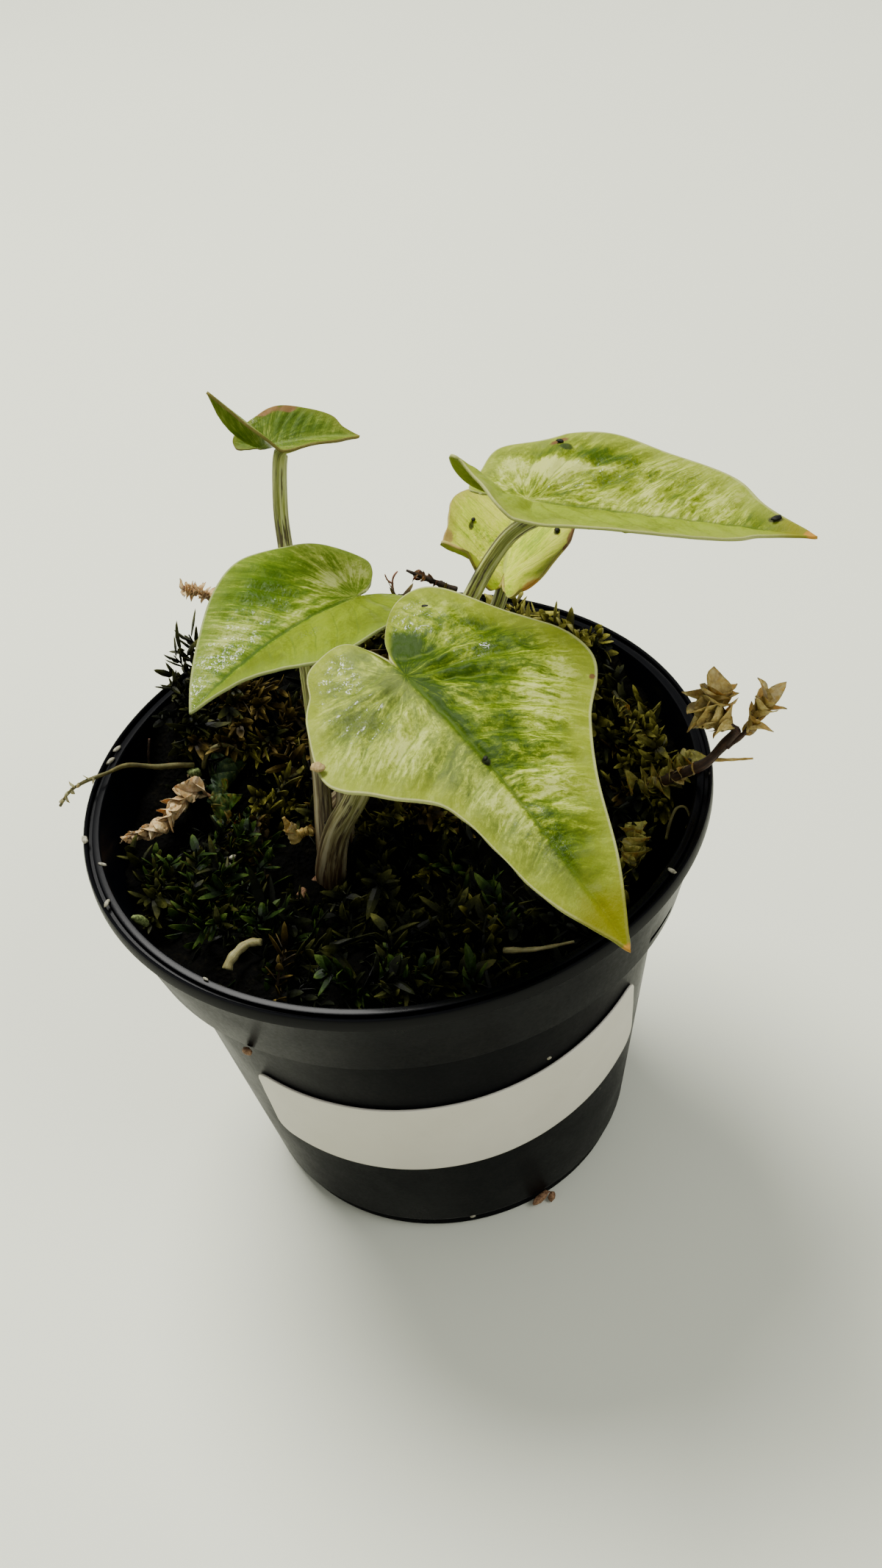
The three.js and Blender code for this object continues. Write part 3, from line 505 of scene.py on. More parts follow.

# Gloss, patches and spots: forward, aside, reach along, reach across, then gain or colour.
# Rib: colour, amount. Rim: colour, share where it starts, amount. Tip: colour, start.
# Plain half: side, colour, amount. The near half is painted a plain colour for the glow of light through it
# from behind.
leafLooks = {
    "front": {
        "gloss": [
            (-2.8, -6.9, 4.5, 3), (2.2, -7, 3, 2.5), (-8, -5.6, 3, 2.5), (-9.5, 4.9, 3, 3), (-2, 8.1, 4, 3),
            (24, 0, 4, 2),
        ],
        "seed": 1.0, "strokes": 1.75, "greenness": 0.5, "puckers": 0.55, "roughness": 0.47,
        "stops": [(0.22, cream), (0.42, paleGreen), (0.64, midGreen), (0.92, deepGreen)],
        "vein": (0.1, 0.15, 0.008), "rib": ((0.05, 0.09, 0.003), 0.75),
        "rim": (yellowGreen, 0.7, 0.8), "margin": (0.42, 0.42, 0.2),
        "tip": ((0.15, 0.145, 0.004), 28.5), "backlitHalf": (-1, (0.44, 0.48, 0.13), 0.22),
        "patches": [
            (-5, 2.6, 3.2, 2, 0.62), (-2, 11, 5, 3.5, 0.26), (2.8, 14, 4, 3, 0.1), (1.5, 4, 4.5, 2.5, 0.28),
            (5, 7.5, 3.5, 3, 0.2), (4.5, 0.6, 8, 1.3, 0.55), (11, 4, 2, 1.4, 0.3), (15.5, 3, 3, 2, 0.18),
            (15, 7, 3, 2, 0.15), (-8.5, -3, 3, 2.5, 0.28), (-7, -8.5, 3, 2.2, 0.26),
            (1.5, -7.6, 2.4, 1.9, 0.42), (-2.8, -7, 3, 2, 0.15), (-1.5, -2, 3, 1.6, 0.45),
            (13.5, -4.2, 1.8, 1.3, 0.25), (26, 1.2, 4.5, 2.4, 0.34), (31, 0.5, 3, 2, 0.2),
            (7.2, -7.5, 4, 3, -0.18), (6.5, -4, 3, 2, -0.14), (20, -1.5, 4, 1.8, -0.25),
            (-3, -7.5, 2.6, 1.4, -0.2), (9, 8, 3, 2.5, -0.14), (-9, 5, 2.5, 2, -0.2),
            (19, 3, 2.5, 1.5, -0.15),
        ],
        "spots": [
            (13.5, -0.1, 0.5, 0.5, nearBlack), (10, 15, 0.35, 0.35, scorch), (35.9, 0, 0.7, 0.6, orange),
        ],
    },
    "left": {
        "gloss": [(14.8, -2.6, 4, 2.2), (7.5, -4.8, 4, 3), (21.8, -0.8, 2.5, 1.5), (8, 2.9, 2, 1)],
        "seed": 4.0, "strokes": 1.6, "greenness": 0.5, "puckers": 0.5, "roughness": 0.48,
        "stops": [
            (0.22, (0.4, 0.44, 0.12)), (0.4, (0.23, 0.29, 0.03)), (0.62, (0.09, 0.15, 0.003)),
            (0.92, (0.04, 0.085, 0)),
        ],
        "vein": (0.08, 0.13, 0.006), "rib": ((0.03, 0.07, 0.002), 0.8),
        "rim": ((0.15, 0.21, 0.018), 0.78, 0.6), "margin": (0.34, 0.36, 0.16),
        "tip": ((0.28, 0.3, 0.08), 21), "backlitHalf": (1, (0.165, 0.225, 0.003), 0.92),
        "patches": [
            (5, -6.5, 4.5, 3, 0.35), (8, -5, 3, 2, 0.15), (12.5, -4, 3.5, 2.4, -0.34),
            (0, -4, 2.6, 1.5, -0.22), (6, -1.5, 3, 0.8, -0.15), (15.5, -2.4, 2.5, 0.9, 0.3),
            (-1, -1.4, 2.5, 1, 0.25), (17.5, -3, 2, 2, -0.15), (-5, -4, 1.8, 1.2, -0.15),
        ],
        "spots": [],
    },
    "back_left": {
        "gloss": [(2, -2, 4, 3), (-3, 4, 3, 2)],
        "seed": 7.0, "strokes": 1.2, "greenness": 0.56, "puckers": 0.5, "roughness": 0.5,
        "stops": [
            (0.3, (0.24, 0.28, 0.05)), (0.46, (0.12, 0.17, 0.015)), (0.64, (0.065, 0.11, 0.006)),
            (0.9, (0.03, 0.06, 0.003)),
        ],
        "vein": (0.12, 0.18, 0.02), "rib": ((0.16, 0.22, 0.04), 0.5),
        "rim": ((0.16, 0.18, 0.02), 0.75, 0.5), "margin": (0.16, 0.1, 0.04),
        "tip": ((0.2, 0.16, 0.03), 8.4), "backlitHalf": (1, (0.1, 0.15, 0.012), 0.0),
        "patches": [(3, 2.5, 3, 1.5, 0.15), (-3, 5, 3, 2, 0.1)],
        "spots": [(0, 4.5, 1.6, 0.7, (0.25, 0.13, 0.05)), (2.4, 4.1, 1.2, 0.5, (0.2, 0.1, 0.04))],
    },
    "right": {
        "gloss": [(3.8, 5.6, 4, 2), (7.8, 7.1, 4, 2), (14.8, 5.9, 3, 1.5), (1.2, 2.9, 2.5, 1.2)],
        "seed": 10.0, "strokes": 1.6, "greenness": 0.45, "puckers": 0.55, "roughness": 0.46,
        "stops": [
            (0.22, (0.45, 0.48, 0.12)), (0.42, (0.24, 0.29, 0.022)), (0.62, (0.11, 0.15, 0.002)),
            (0.92, (0.035, 0.07, 0)),
        ],
        "vein": (0.12, 0.17, 0.01), "rib": ((0.06, 0.1, 0.005), 0.7),
        "rim": ((0.22, 0.26, 0.03), 0.74, 0.7), "margin": (0.38, 0.38, 0.16),
        "tip": ((0.18, 0.17, 0.006), 23.5), "backlitHalf": (-1, (0.18, 0.24, 0.01), 0.9),
        "patches": [
            (4.5, 8.4, 6, 1.5, 0.3), (-2.5, 9.6, 3, 1.6, 0.18), (1, 6.4, 4.5, 1, -0.32),
            (4.5, 6.6, 5, 0.7, -0.2), (6.5, 4.6, 3, 1.4, 0.26), (-3, 5.4, 3, 2, -0.16),
            (10, 6.2, 3, 0.9, 0.2), (13, 4, 3, 2, 0.1), (-5.5, 4, 2.2, 1.4, 0.15), (1, 1.6, 5, 1, 0.16),
            (17, 3, 4, 1.5, -0.1), (24, 1, 4, 3, 0.35),
        ],
        "spots": [
            (0.5, 9.2, 0.9, 0.5, (0.02, 0.035, 0.006)), (-0.5, 10.3, 1.1, 0.5, scorch),
            (24.5, 1.6, 0.9, 0.45, (0.03, 0.03, 0.012)), (28.4, 0, 0.9, 0.7, orange),
        ],
    },
    "small_right": {
        "gloss": [(3, 2, 4, 3)],
        "seed": 13.0, "strokes": 1.1, "greenness": 0.46, "puckers": 0.55, "roughness": 0.5,
        # These colours are partly the old leaf's own yellowing and partly raised as painted light, for the
        # glow through it in the right leaf's shadow
        "stops": [
            (0.26, (0.6, 0.6, 0.1)), (0.46, (0.48, 0.54, 0.035)), (0.68, (0.3, 0.4, 0.012)),
            (0.9, (0.16, 0.26, 0.006)),
        ],
        "vein": (0.12, 0.16, 0.03), "rib": ((0.24, 0.28, 0.07), 0.5),
        "rim": ((0.3, 0.25, 0.05), 0.78, 0.5), "margin": (0.3, 0.22, 0.08),
        "tip": (orange, 19), "backlitHalf": (1, yellowGreen, 0.0),
        "patches": [(3, -4, 3, 2, 0.2), (6, 3, 3, 2, 0.12), (-3, -3, 3, 2, -0.1)],
        "spots": [
            (2.2, -9.6, 1.6, 0.5, scorch), (0, -9.2, 1.5, 0.5, scorch), (-2.4, -8.8, 1.5, 0.5, scorch),
            (-4.6, -8.2, 1.4, 0.5, (0.2, 0.09, 0.03)), (-9, -4.8, 1.8, 1.5, orange),
            (-9.5, 5.5, 3.4, 2.4, (0.32, 0.24, 0.06)), (1.5, 7.6, 1.5, 0.8, (0.3, 0.2, 0.06)),
            (5.4, 4.9, 1.1, 0.35, nearBlack), (2.6, -7.2, 0.5, 0.5, nearBlack),
        ],
    },
}


# Petioles: each runs on as the midrib under its blade

petioleFoot = 46.4
petioles = {
    "front": {
        "radius": 1.55, "topShare": 0.75,
        "route": [(-9, -6.6, petioleFoot), (-8.7, -7.1, 50), (-7.2, -7.9, 55.4), (-4.4, -8.8, 60.7),
                  (0.2, -10.3, 70.2)],
    },
    "left": {
        "radius": 1.1, "topShare": 0.8,
        "route": [(-7.1, -2, petioleFoot), (-5.9, -1.2, 54), (-4.2, 2.6, 62.3), (-2.6, 7.8, 69)],
    },
    "back_left": {
        "radius": 0.98, "topShare": 0.85,
        "route": [(-9.2, -3.6, petioleFoot), (-8.8, -1.8, 51.3), (-8.2, 1.8, 55.8), (-7.7, 11.5, 63),
                  (-7.8, 17.2, 68.8), (-7.7, 21.3, 74), (-7.4, 22.7, 78.4)],
    },
    "right": {
        "radius": 1.15, "topShare": 0.75,
        "route": [(-8.4, 1.6, petioleFoot), (-4, 1.4, 53.6), (3.4, 0.6, 63.5), (11.6, 3, 75.7),
                  (14.8, 3.8, 80.1), (17.4, 4, 82.6)],
    },
    "small_right": {
        "radius": 0.95, "topShare": 0.85,
        "route": [(-8.9, 4.3, petioleFoot), (-4.6, 4.6, 50.8), (6.7, 6.5, 59.4), (14, 10, 67)],
    },
}
midribRun = {"sink": 1.9, "radius": 0.4, "end": 0.8, "sides": 20}


def makePetiole(key, material):
    petiole, leaf = petioles[key], leaves[key]
    normal = leafAxes(leaf)[2]
    start = petiole["route"][0]
    route = [start, (start[0], start[1], start[2] + 1.2), *petiole["route"][1:]]
    stemEnd = len(route)
    foot, top = petiole["radius"], petiole["radius"] * petiole["topShare"]
    for share in (0.02, 0.16, 0.45, midribRun["end"]):
        depth = top * max(midribRun["sink"] - 4 * share, 0.95 - 0.6 * share) + 0.15
        route.append(leafPoint(leaf, share * leaf["tip"], 0) - normal * depth)
    spans = [math.dist(a, b) for a, b in zip(route, route[1:])]
    turn = sum(spans[:stemEnd]) / sum(spans)

    def radiusAt(t):
        if t < turn:
            share = t / turn
            sheath = 0.16 * math.exp(-((share - 0.04) / 0.16) ** 2)
            return foot + (top - foot) * share + sheath * foot
        share = (t - turn) / (1 - turn)
        ease = min(share / 0.11, 1) ** 1.5
        run = midribRun["radius"] * (1 - share) ** 0.7 + 0.1
        return top * (1 + (run - 1) * ease)

    bm = bmesh.new()
    sweepStem(bm, route, 90, midribRun["sides"], radiusAt, ridges=0.035)
    bmesh.ops.recalc_face_normals(bm, faces=bm.faces)
    return finishPiece(f"petiole_stem_{key}", bm, material, "petiole", f"petiole_{key}")


def petioleFinish():
    f = Finish("petioleSkin")
    streaks = f.stemGrain(2.6, 0.08)
    dashes = f.stemGrain(4.5, 0.16)
    blotch = f.speckle(f.place(), 0.2, 3)
    along = f.attribute("along")
    tone = (streaks - 0.5) * 1.5 + blotch * 0.3 + 0.37
    low = f.ramp(tone, [(0.34, (0.035, 0.02, 0.008)), (0.46, (0.14, 0.105, 0.045)),
                        (0.56, (0.27, 0.23, 0.11)), (0.7, (0.44, 0.39, 0.22))])
    # The upper ramp is the petiole's own greener colour, made paler as painted light where the leaves shade it
    high = f.ramp(tone, [(0.3, (0.07, 0.06, 0.012)), (0.4, (0.2, 0.22, 0.035)),
                         (0.52, (0.33, 0.37, 0.08)), (0.68, (0.5, 0.53, 0.2))])
    colour = f.mix(low, high, f.clamp(along + (blotch - 0.5) * 8, 6.0, 26.0))
    colour = f.mix(colour, (0.04, 0.022, 0.01), f.clamp(dashes + (blotch - 0.5) * 0.5, 0.53, 0.6) * 0.9)
    # Darker at the foot: partly the petiole's brown base, partly painted shade where it comes out of the moss
    foot = 1 - f.clamp(along + (blotch - 0.5) * 6, 1.0, 8.0)
    colour = f.mix(colour, (0.05, 0.022, 0.009), foot * 0.7)
    normal = f.bump(streaks * 0.7 + dashes * 0.5, 0.5, 0.00025)
    return f.surface(Base_Color=colour, Roughness=streaks * 0.2 + 0.36, Normal=normal, Subsurface_Weight=0.1,
                     Subsurface_Scale=0.001, Specular_IOR_Level=0.3)


# Pot: spun from its profile, with drain holes cut in the floor

pot = {
    "rim": 36, "height": 54.3, "collarFootZ": 42.3, "collarFoot": 32.55, "bodyTop": 30.2, "base": 23.2,
    "baseZ": 2.2, "foot": 22.4, "wall": 0.85, "recess": 1.2, "pad": 6, "holes": 6, "holeRadius": 2.6,
    "holeCircle": 13.5, "segments": 160, "slotSize": (3, 5.5, 1), "slotZ": 44.7, "slotTurn": -38,
    "slotReach": 34, "lipDepth": 2.1,
}


def makePot(material):
    r, h, c, wall = pot["rim"], pot["height"], pot["collarFootZ"], pot["wall"]
    pad, recess, foot, base, baseZ = (pot[k] for k in ("pad", "recess", "foot", "base", "baseZ"))
    top, collar = pot["bodyTop"], pot["collarFoot"]
    inner = collar - wall
    profile = [
        (0, 0), (pad, 0), (pad + 0.5, recess), (foot - 2.2, recess), (foot - 1.8, 0), (foot - 0.3, 0),
        (foot, 0.3), (foot + 0.1, baseZ - 0.6), (base - 0.15, baseZ - 0.1), (base + 0.05, baseZ + 0.3),
        (top - 0.05, c - 0.4), (top + 0.15, c - 0.05), (collar - 0.3, c), (collar, c + 0.3),
        (r - 0.85, h - 2.3), (r - 0.6, h - 1.9), (r, h - 1.5), (r, h - 0.35), (r - 0.12, h - 0.08),
        (r - 0.3, h), (r - 0.48, h - 0.12), (r - 0.6, h - 0.6), (r - 0.95, h - 0.6), (r - 1.08, h - 0.16),
        (r - 1.3, h - 0.08), (r - 1.8, h - 0.1), (r - 2, h - 0.3), (inner + 0.05, c + wall + 0.3),
        (inner - 0.3, c + wall), (top - wall + 0.1, c + wall), (top - wall, c + wall - 0.4),
        (base - wall - 0.1, baseZ), (0, baseZ),
    ]
    bm = bmesh.new()
    points = [bm.verts.new((x, 0, z)) for x, z in profile]
    edges = [bm.edges.new(pair) for pair in zip(points, points[1:])]
    bmesh.ops.spin(bm, geom=points + edges, cent=(0, 0, 0), axis=(0, 0, 1), angle=2 * math.pi,
                   steps=pot["segments"], use_merge=True)
    bmesh.ops.remove_doubles(bm, verts=bm.verts, dist=1e-4)
    bmesh.ops.recalc_face_normals(bm, faces=bm.faces)
    lip = addAttribute(bm, "lip")
    for v in bm.verts:
        v[lip] = 1 if v.co.z > h - pot["lipDepth"] else 0
    piece = finishPiece("nursery_pot", bm, material, "pot", "pot")
    drills = bmesh.new()
    for i in range(pot["holes"]):
        a = (i + 0.5) / pot["holes"] * 2 * math.pi
        spot = Vector((math.cos(a), math.sin(a), 0)) * pot["holeCircle"] + Vector((0, 0, 2))
        bmesh.ops.create_cone(drills, cap_ends=True, segments=32, radius1=pot["holeRadius"],
                              radius2=pot["holeRadius"], depth=8, matrix=Matrix.Translation(spot))
    slot = bmesh.ops.create_cube(drills, size=1)["verts"]
    bmesh.ops.scale(drills, vec=pot["slotSize"], verts=slot)
    bmesh.ops.translate(drills, vec=(pot["slotReach"], 0, pot["slotZ"]), verts=slot)
    turn = Matrix.Rotation(math.radians(pot["slotTurn"]), 3, "Z")
    bmesh.ops.rotate(drills, cent=(0, 0, 0), matrix=turn, verts=slot)
    cutter = addObject("drills", meshFrom(drills, "drills"))
    cut = piece.modifiers.new("holes", "BOOLEAN")
    cut.object, cut.solver = cutter, "EXACT"
    shaped = bpy.data.meshes.new_from_object(piece.evaluated_get(bpy.context.evaluated_depsgraph_get()))
    piece.modifiers.clear()
    piece.data = shaped
    bpy.data.objects.remove(cutter)
    for face in shaped.polygons:
        face.use_smooth = True
    shaped.set_sharp_from_angle(angle=math.radians(38))
    return piece


def potFinish():
    f = Finish("blackPlastic")
    place = f.place()
    dust = f.speckle(place, 0.05, 4, 0.6)
    grain = f.speckle(place, 2.4, 3, 0.6)
    drawn = f.speckle(f.place((900, 900, 60)), 1.0, 3)
    scuff = f.clamp(f.speckle(f.place((420, 420, 130)), 1.0, 6, 0.7), 0.62, 0.75)
    cloud = f.clamp(dust * 0.7 + drawn * 0.3, 0.35, 0.7)
    colour = f.mix((0.0003, 0.0004, 0.0009), (0.0009, 0.0011, 0.0019), cloud)
    colour = f.mix(colour, (0.014, 0.014, 0.014), scuff * 0.12)
    specks = 1 - f.clamp(f.cells(place, 0.22), 0.03, 0.07)
    colour = f.mix(colour, (0.12, 0.11, 0.09), specks * f.clamp(dust, 0.5, 0.6) * 0.7)
    rough = f.clamp(dust + grain * 0.3, 0.4, 0.9) * 0.2 + 0.26
    normal = f.bump(grain * 0.4 + drawn * 0.6, 0.14, 0.0001)
    return f.surface(Base_Color=colour, Roughness=rough, Normal=normal, Specular_IOR_Level=0.02,
                     Coat_Weight=f.attribute("lip") * 0.16, Coat_Roughness=0.22)


# Label: bare card with round corners, bent on the tapered body

label = {
    "length": 50.4, "height": 14.2, "corner": 2, "thickness": 0.28, "gap": 0.08, "azimuth": 3.1, "tilt": 2.8,
    "centreZ": 23.5, "soften": 0.08,
}


def makeLabel(material):
    taper = (pot["bodyTop"] - pot["base"]) / (pot["collarFootZ"] - pot["baseZ"])
    sinTaper = math.sin(math.atan(taper))
    centreReach = (pot["base"] + taper * (label["centreZ"] - pot["baseZ"])) / sinTaper
    tilt = math.radians(label["tilt"])
    halfLong, halfHigh, corner = label["length"] / 2, label["height"] / 2, label["corner"]
    bm = bmesh.new()
    bmesh.ops.create_grid(bm, x_segments=120, y_segments=24, size=1)
    for v in bm.verts:
        squeeze = 0.5 * v.co.x * (3 - v.co.x ** 2) if abs(v.co.x) < 1 else v.co.x
        along = halfLong * (0.75 * v.co.x + 0.25 * squeeze)
        over = max(0, abs(along) - halfLong + corner)
        up = v.co.y * (halfHigh - corner + math.sqrt(max(corner ** 2 - over ** 2, 0)))
        x = math.cos(tilt) * along - math.sin(tilt) * up
        y = math.sin(tilt) * along + math.cos(tilt) * up + centreReach
        reach = math.hypot(x, y)
        turn = math.atan2(x, y) / sinTaper + math.radians(label["azimuth"])
        r = reach * sinTaper
        z = pot["baseZ"] + (r - pot["base"]) / taper
        out = r + label["gap"] + 0.04 * noise.noise(Vector((along * 0.15, up * 0.3, 2)))
        v.co = Vector((out * math.sin(turn), -out * math.cos(turn), z - label["gap"] * taper))
    bmesh.ops.recalc_face_normals(bm, faces=bm.faces)
    middle = min(bm.faces, key=lambda face: face.calc_center_median().y)
    if middle.normal.y > 0:
        bmesh.ops.reverse_faces(bm, faces=bm.faces)
    piece = finishPiece("blank_label", bm, material, "label", "label")
    card = piece.modifiers.new("card", "SOLIDIFY")
    card.thickness, card.offset = label["thickness"] * mm, 1
    soften = piece.modifiers.new("soften", "BEVEL")
    soften.width, soften.segments, soften.limit_method = label["soften"] * mm, 2, "ANGLE"
    return piece


def labelFinish():
    f = Finish("labelCard")
    place = f.place()
    fibre = f.speckle(place, 3.0, 4, 0.7)
    cloud = f.speckle(place, 0.12, 3)
    grime = f.clamp(f.speckle(place, 0.3, 5, 0.65), 0.6, 0.8)
    colour = f.mix((0.56, 0.53, 0.43), (0.67, 0.64, 0.54), cloud)
    colour = f.mix(colour, (0.4, 0.37, 0.28), grime * 0.22)
    return f.surface(Base_Color=colour, Roughness=fibre * 0.15 + 0.42, Normal=f.bump(fibre, 0.12, 0.00005))


# Moss: a near-black bed that fills the pot, painted shade under the strands, and leafy strands in several
# colours on it

moss = {
    "level": 47.4, "edgeGap": 0.15, "sectors": 120, "rings": 48, "roughness": 0.5,
    "bedSides": [(31.6, 44.8), (31.4, 43.5), (28.9, 43.3), (21.8, 2.6)],
    # Humps: x, y, spread, rise
    "humps": [(25, 20, 8.5, 8), (-22, 22, 7, 7.5), (6, 28, 7, 6), (32, 0, 6, 3), (-9, -4, 6, 0.8),
              (4, -24, 10, -1)],
    "strands": 300, "reach": 31, "wallZone": 25, "lift": -0.6,
    # Strands at the front mostly take near-black tints: painted shade from the pot's front wall
    "frontKinds": ["dark", "dark", "dark", "shade", "green"],
    "backKinds": ["dark", "shade", "olive", "brown"],
    # The scraps of the clumps at the front are fewer, larger and darker; the darker tones are painted shade
    # from the pot's front wall
    "frontFrom": -8, "frontCount": 0.6, "frontSize": 1.3, "frontKeep": 0.55, "backKeep": 0.78,
}

# Clumps that stand out: place, spread, strands, lean from upright in degrees, length, colour
clumps = [
    ((-23, 21), 3.2, 11, 60, 0.8, "shade"), ((-19, 24), 3, 8, 60, 0.8, "shade"),
    ((-17, 20), 5, 16, 78, 1.1, "brown"), ((-10, 15), 5, 15, 78, 1.1, "brown"),
    ((-21, 15), 4, 11, 76, 1.0, "shade"), ((-13, 6), 4.5, 14, 66, 0.9, "olive"),
    ((-16, 0), 3.5, 9, 70, 0.85, "brown"), ((-21, -3), 5, 16, 66, 0.85, "green"),
    ((-27, -7), 3.5, 13, 66, 0.8, "shade"), ((-21, -10), 3.5, 14, 56, 0.85, "green"),
    ((-26, 3), 4, 10, 72, 0.8, "dark"), ((-10, -11), 3, 8, 66, 0.8, "shade"),
    ((-15, -17), 4, 10, 62, 0.9, "green"), ((-19, -22), 3, 6, 66, 0.9, "brown"),
    ((-1, -9), 4, 11, 72, 0.85, "shade"), ((2, -2), 6, 15, 68, 0.9, "olive"),
    ((3, -16), 5, 11, 66, 0.95, "shade"), ((-3, -24), 5, 10, 66, 0.95, "green"),
    ((10, -22), 4, 10, 64, 0.95, "green"), ((19, -19), 4, 10, 66, 0.95, "olive"),
    ((25, -9), 3.5, 12, 72, 0.9, "dark"), ((29, -4), 2.4, 8, 66, 0.85, "olive"),
    ((27, 3), 4.5, 16, 72, 1.0, "shade"), ((30, 6), 3, 12, 62, 0.95, "olive"),
    ((26, 12), 4.5, 24, 72, 1.3, "olive"), ((23, 20), 4.5, 24, 66, 1.35, "tan"),
    ((27.5, 18), 3, 10, 62, 1.2, "tan"), ((17, 25), 4, 13, 64, 1.1, "tan"),
    ((6, 28), 5, 16, 62, 0.95, "brown"), ((31, 1), 2, 8, 52, 0.8, "olive"),
    ((-30, -4.5), 1.4, 4, 55, 0.95, "green"), ((-24.6, -9.2), 1.4, 5, 50, 1.05, "green"),
    ((-8, -17.4), 1.3, 4, 50, 1, "shade"), ((2, -18.5), 1.3, 4, 55, 0.95, "green"),
    ((8.6, -18.4), 1.3, 4, 55, 0.9, "olive"), ((-9, -25), 1.3, 4, 55, 0.95, "green"),
    ((6, -26.4), 1.5, 4, 66, 1, "green"), ((-2, -25), 1.4, 4, 60, 0.9, "shade"),
    ((-19, -1), 1.6, 5, 55, 0.9, "green"), ((-16.4, -11), 1.4, 4, 50, 0.9, "olive"),
]
# The dark and shade tints are near black: painted shade for moss in the pot wall's shadow and deep between
# tufts. Tan is partly the moss's own colour and partly painted light on the lit right side
mossTints = {
    "dark": [(0.35, (0.0008, 0.001, 0.0003)), (0.6, (0.004, 0.005, 0.0014)), (0.85, (0.018, 0.022, 0.006))],
    "shade": [(0.35, (0.0015, 0.002, 0.0004)), (0.6, (0.018, 0.02, 0.003)), (0.85, (0.09, 0.09, 0.018))],
    "olive": [(0.32, (0.006, 0.006, 0.0006)), (0.55, (0.062, 0.058, 0.005)), (0.78, (0.26, 0.24, 0.04))],
    "green": [(0.34, (0.001, 0.003, 0.0004)), (0.57, (0.011, 0.026, 0.0022)), (0.82, (0.075, 0.115, 0.018))],
    "brown": [(0.32, (0.005, 0.003, 0.0006)), (0.56, (0.044, 0.029, 0.005)), (0.8, (0.18, 0.13, 0.03))],
    "tan": [(0.32, (0.025, 0.022, 0.002)), (0.55, (0.17, 0.155, 0.018)), (0.78, (0.46, 0.43, 0.09))],
}
# Bare spots for what lies on the moss: x, y, radius. The inner share of each stays in sight
clearings = [(-12.6, -2.2, 2.8), (-20, 12.6, 2.8), (-20, -17.5, 2.2), (-10, -7, 1.8), (12, -24.6, 2.6),
             (-27, 5, 2.4), (-24, 7.6, 2.4)]
inSight = 0.65
leafTuft = {"variants": 8, "slimVariants": 3, "leaflets": 13, "length": 7, "leaflet": 3, "width": 0.58,
            "stem": 0.22}
# Shoots that stand up at the back and beside the wall: x, y, turn, length, lean
shoots = [
    (-24.2, 22.6, 190, 4.4, 0.5), (-23.2, 23.8, 200, 5.4, 0.2), (-22, 24.6, 190, 5.5, 0.2),
    (-21.2, 25, 170, 6.6, 0.12), (-20, 25.6, 160, 7.6, 0.13), (17.6, 23.4, 38, 5.6, 0.2),
    (21, 22.8, 249, 5.4, 0.2), (24.4, 19.4, 196, 4, 0.5), (28, 2.4, 250, 4.2, 0.4),
]


def mossHeight(x, y):
    lumps = 0.75 * math.sin(0.55 * x + 1.3) * math.cos(0.47 * y - 0.4)
    lumps += 0.5 * math.sin(1.05 * x - 0.7 * y + 2) + 0.4 * math.cos(0.8 * y + 1.15 * x)
    for cx, cy, spread, rise in moss["humps"]:
        lumps += rise * math.exp(-((x - cx) ** 2 + (y - cy) ** 2) / (2 * spread ** 2))
    return moss["level"] + lumps


def mouthInside(z):
    foot = pot["collarFootZ"] + pot["wall"]
    share = min((z - foot) / (pot["height"] - 0.1 - foot), 1)
    inner = pot["collarFoot"] - pot["wall"]
    return inner + share * (pot["rim"] - 2 - inner)


def makeMossBed(material):
    sides = moss["bedSides"]
    total = moss["rings"] + len(sides)
    bm = bmesh.new()
    grid = bmesh.ops.create_grid(bm, x_segments=total, y_segments=moss["sectors"], size=1)["verts"]
    bottom = []
    for v in grid:
        ring = round((v.co.x + 1) / 2 * total)
        a = (v.co.y + 1) * math.pi
        if ring <= moss["rings"]:
            reach = 32
            for _ in range(3):
                reach = mouthInside(mossHeight(reach * math.cos(a), reach * math.sin(a))) - moss["edgeGap"]
            r = reach * ring / moss["rings"]
            x, y = r * math.cos(a), r * math.sin(a)
            rough = noise.noise(Vector((x, y, 0)) * 0.9) + 0.6 * noise.noise(Vector((x, y, 3)) * 2.3)
            v.co = Vector((x, y, mossHeight(x, y) - 0.5 + rough * moss["roughness"]))
        else:
            r, z = sides[ring - moss["rings"] - 1]
            v.co = Vector((r * math.cos(a), r * math.sin(a), z))
            if ring == total:
                bottom.append(v)
    bmesh.ops.remove_doubles(bm, verts=grid, dist=1e-3)
    closeRing(bm, bottom)
    bmesh.ops.recalc_face_normals(bm, faces=bm.faces)
    return finishPiece("moss_ground", bm, material, "moss", "moss_bed")


def addLeaflet(bm, at, way, outward, length, width, cup, curl):
    # A broad cupped leaf, closed all round, with a bent tip
    tip = addAttribute(bm, "tip")
    verts = bmesh.ops.create_uvsphere(bm, u_segments=6, v_segments=4, radius=1)["verts"]
    for v in verts:
        along = (v.co.z + 1) / 2
        v[tip] = along
        across = v.co.x * width * (1.25 - 0.65 * along) + curl * 0.4 * along ** 2
        rise = v.co.y * 0.09 + cup * v.co.x ** 2 + curl * along ** 2 * length
        v.co = Vector((across, rise, along * length))
    bmesh.ops.transform(bm, matrix=scaleTurn(at, way, outward), verts=verts)


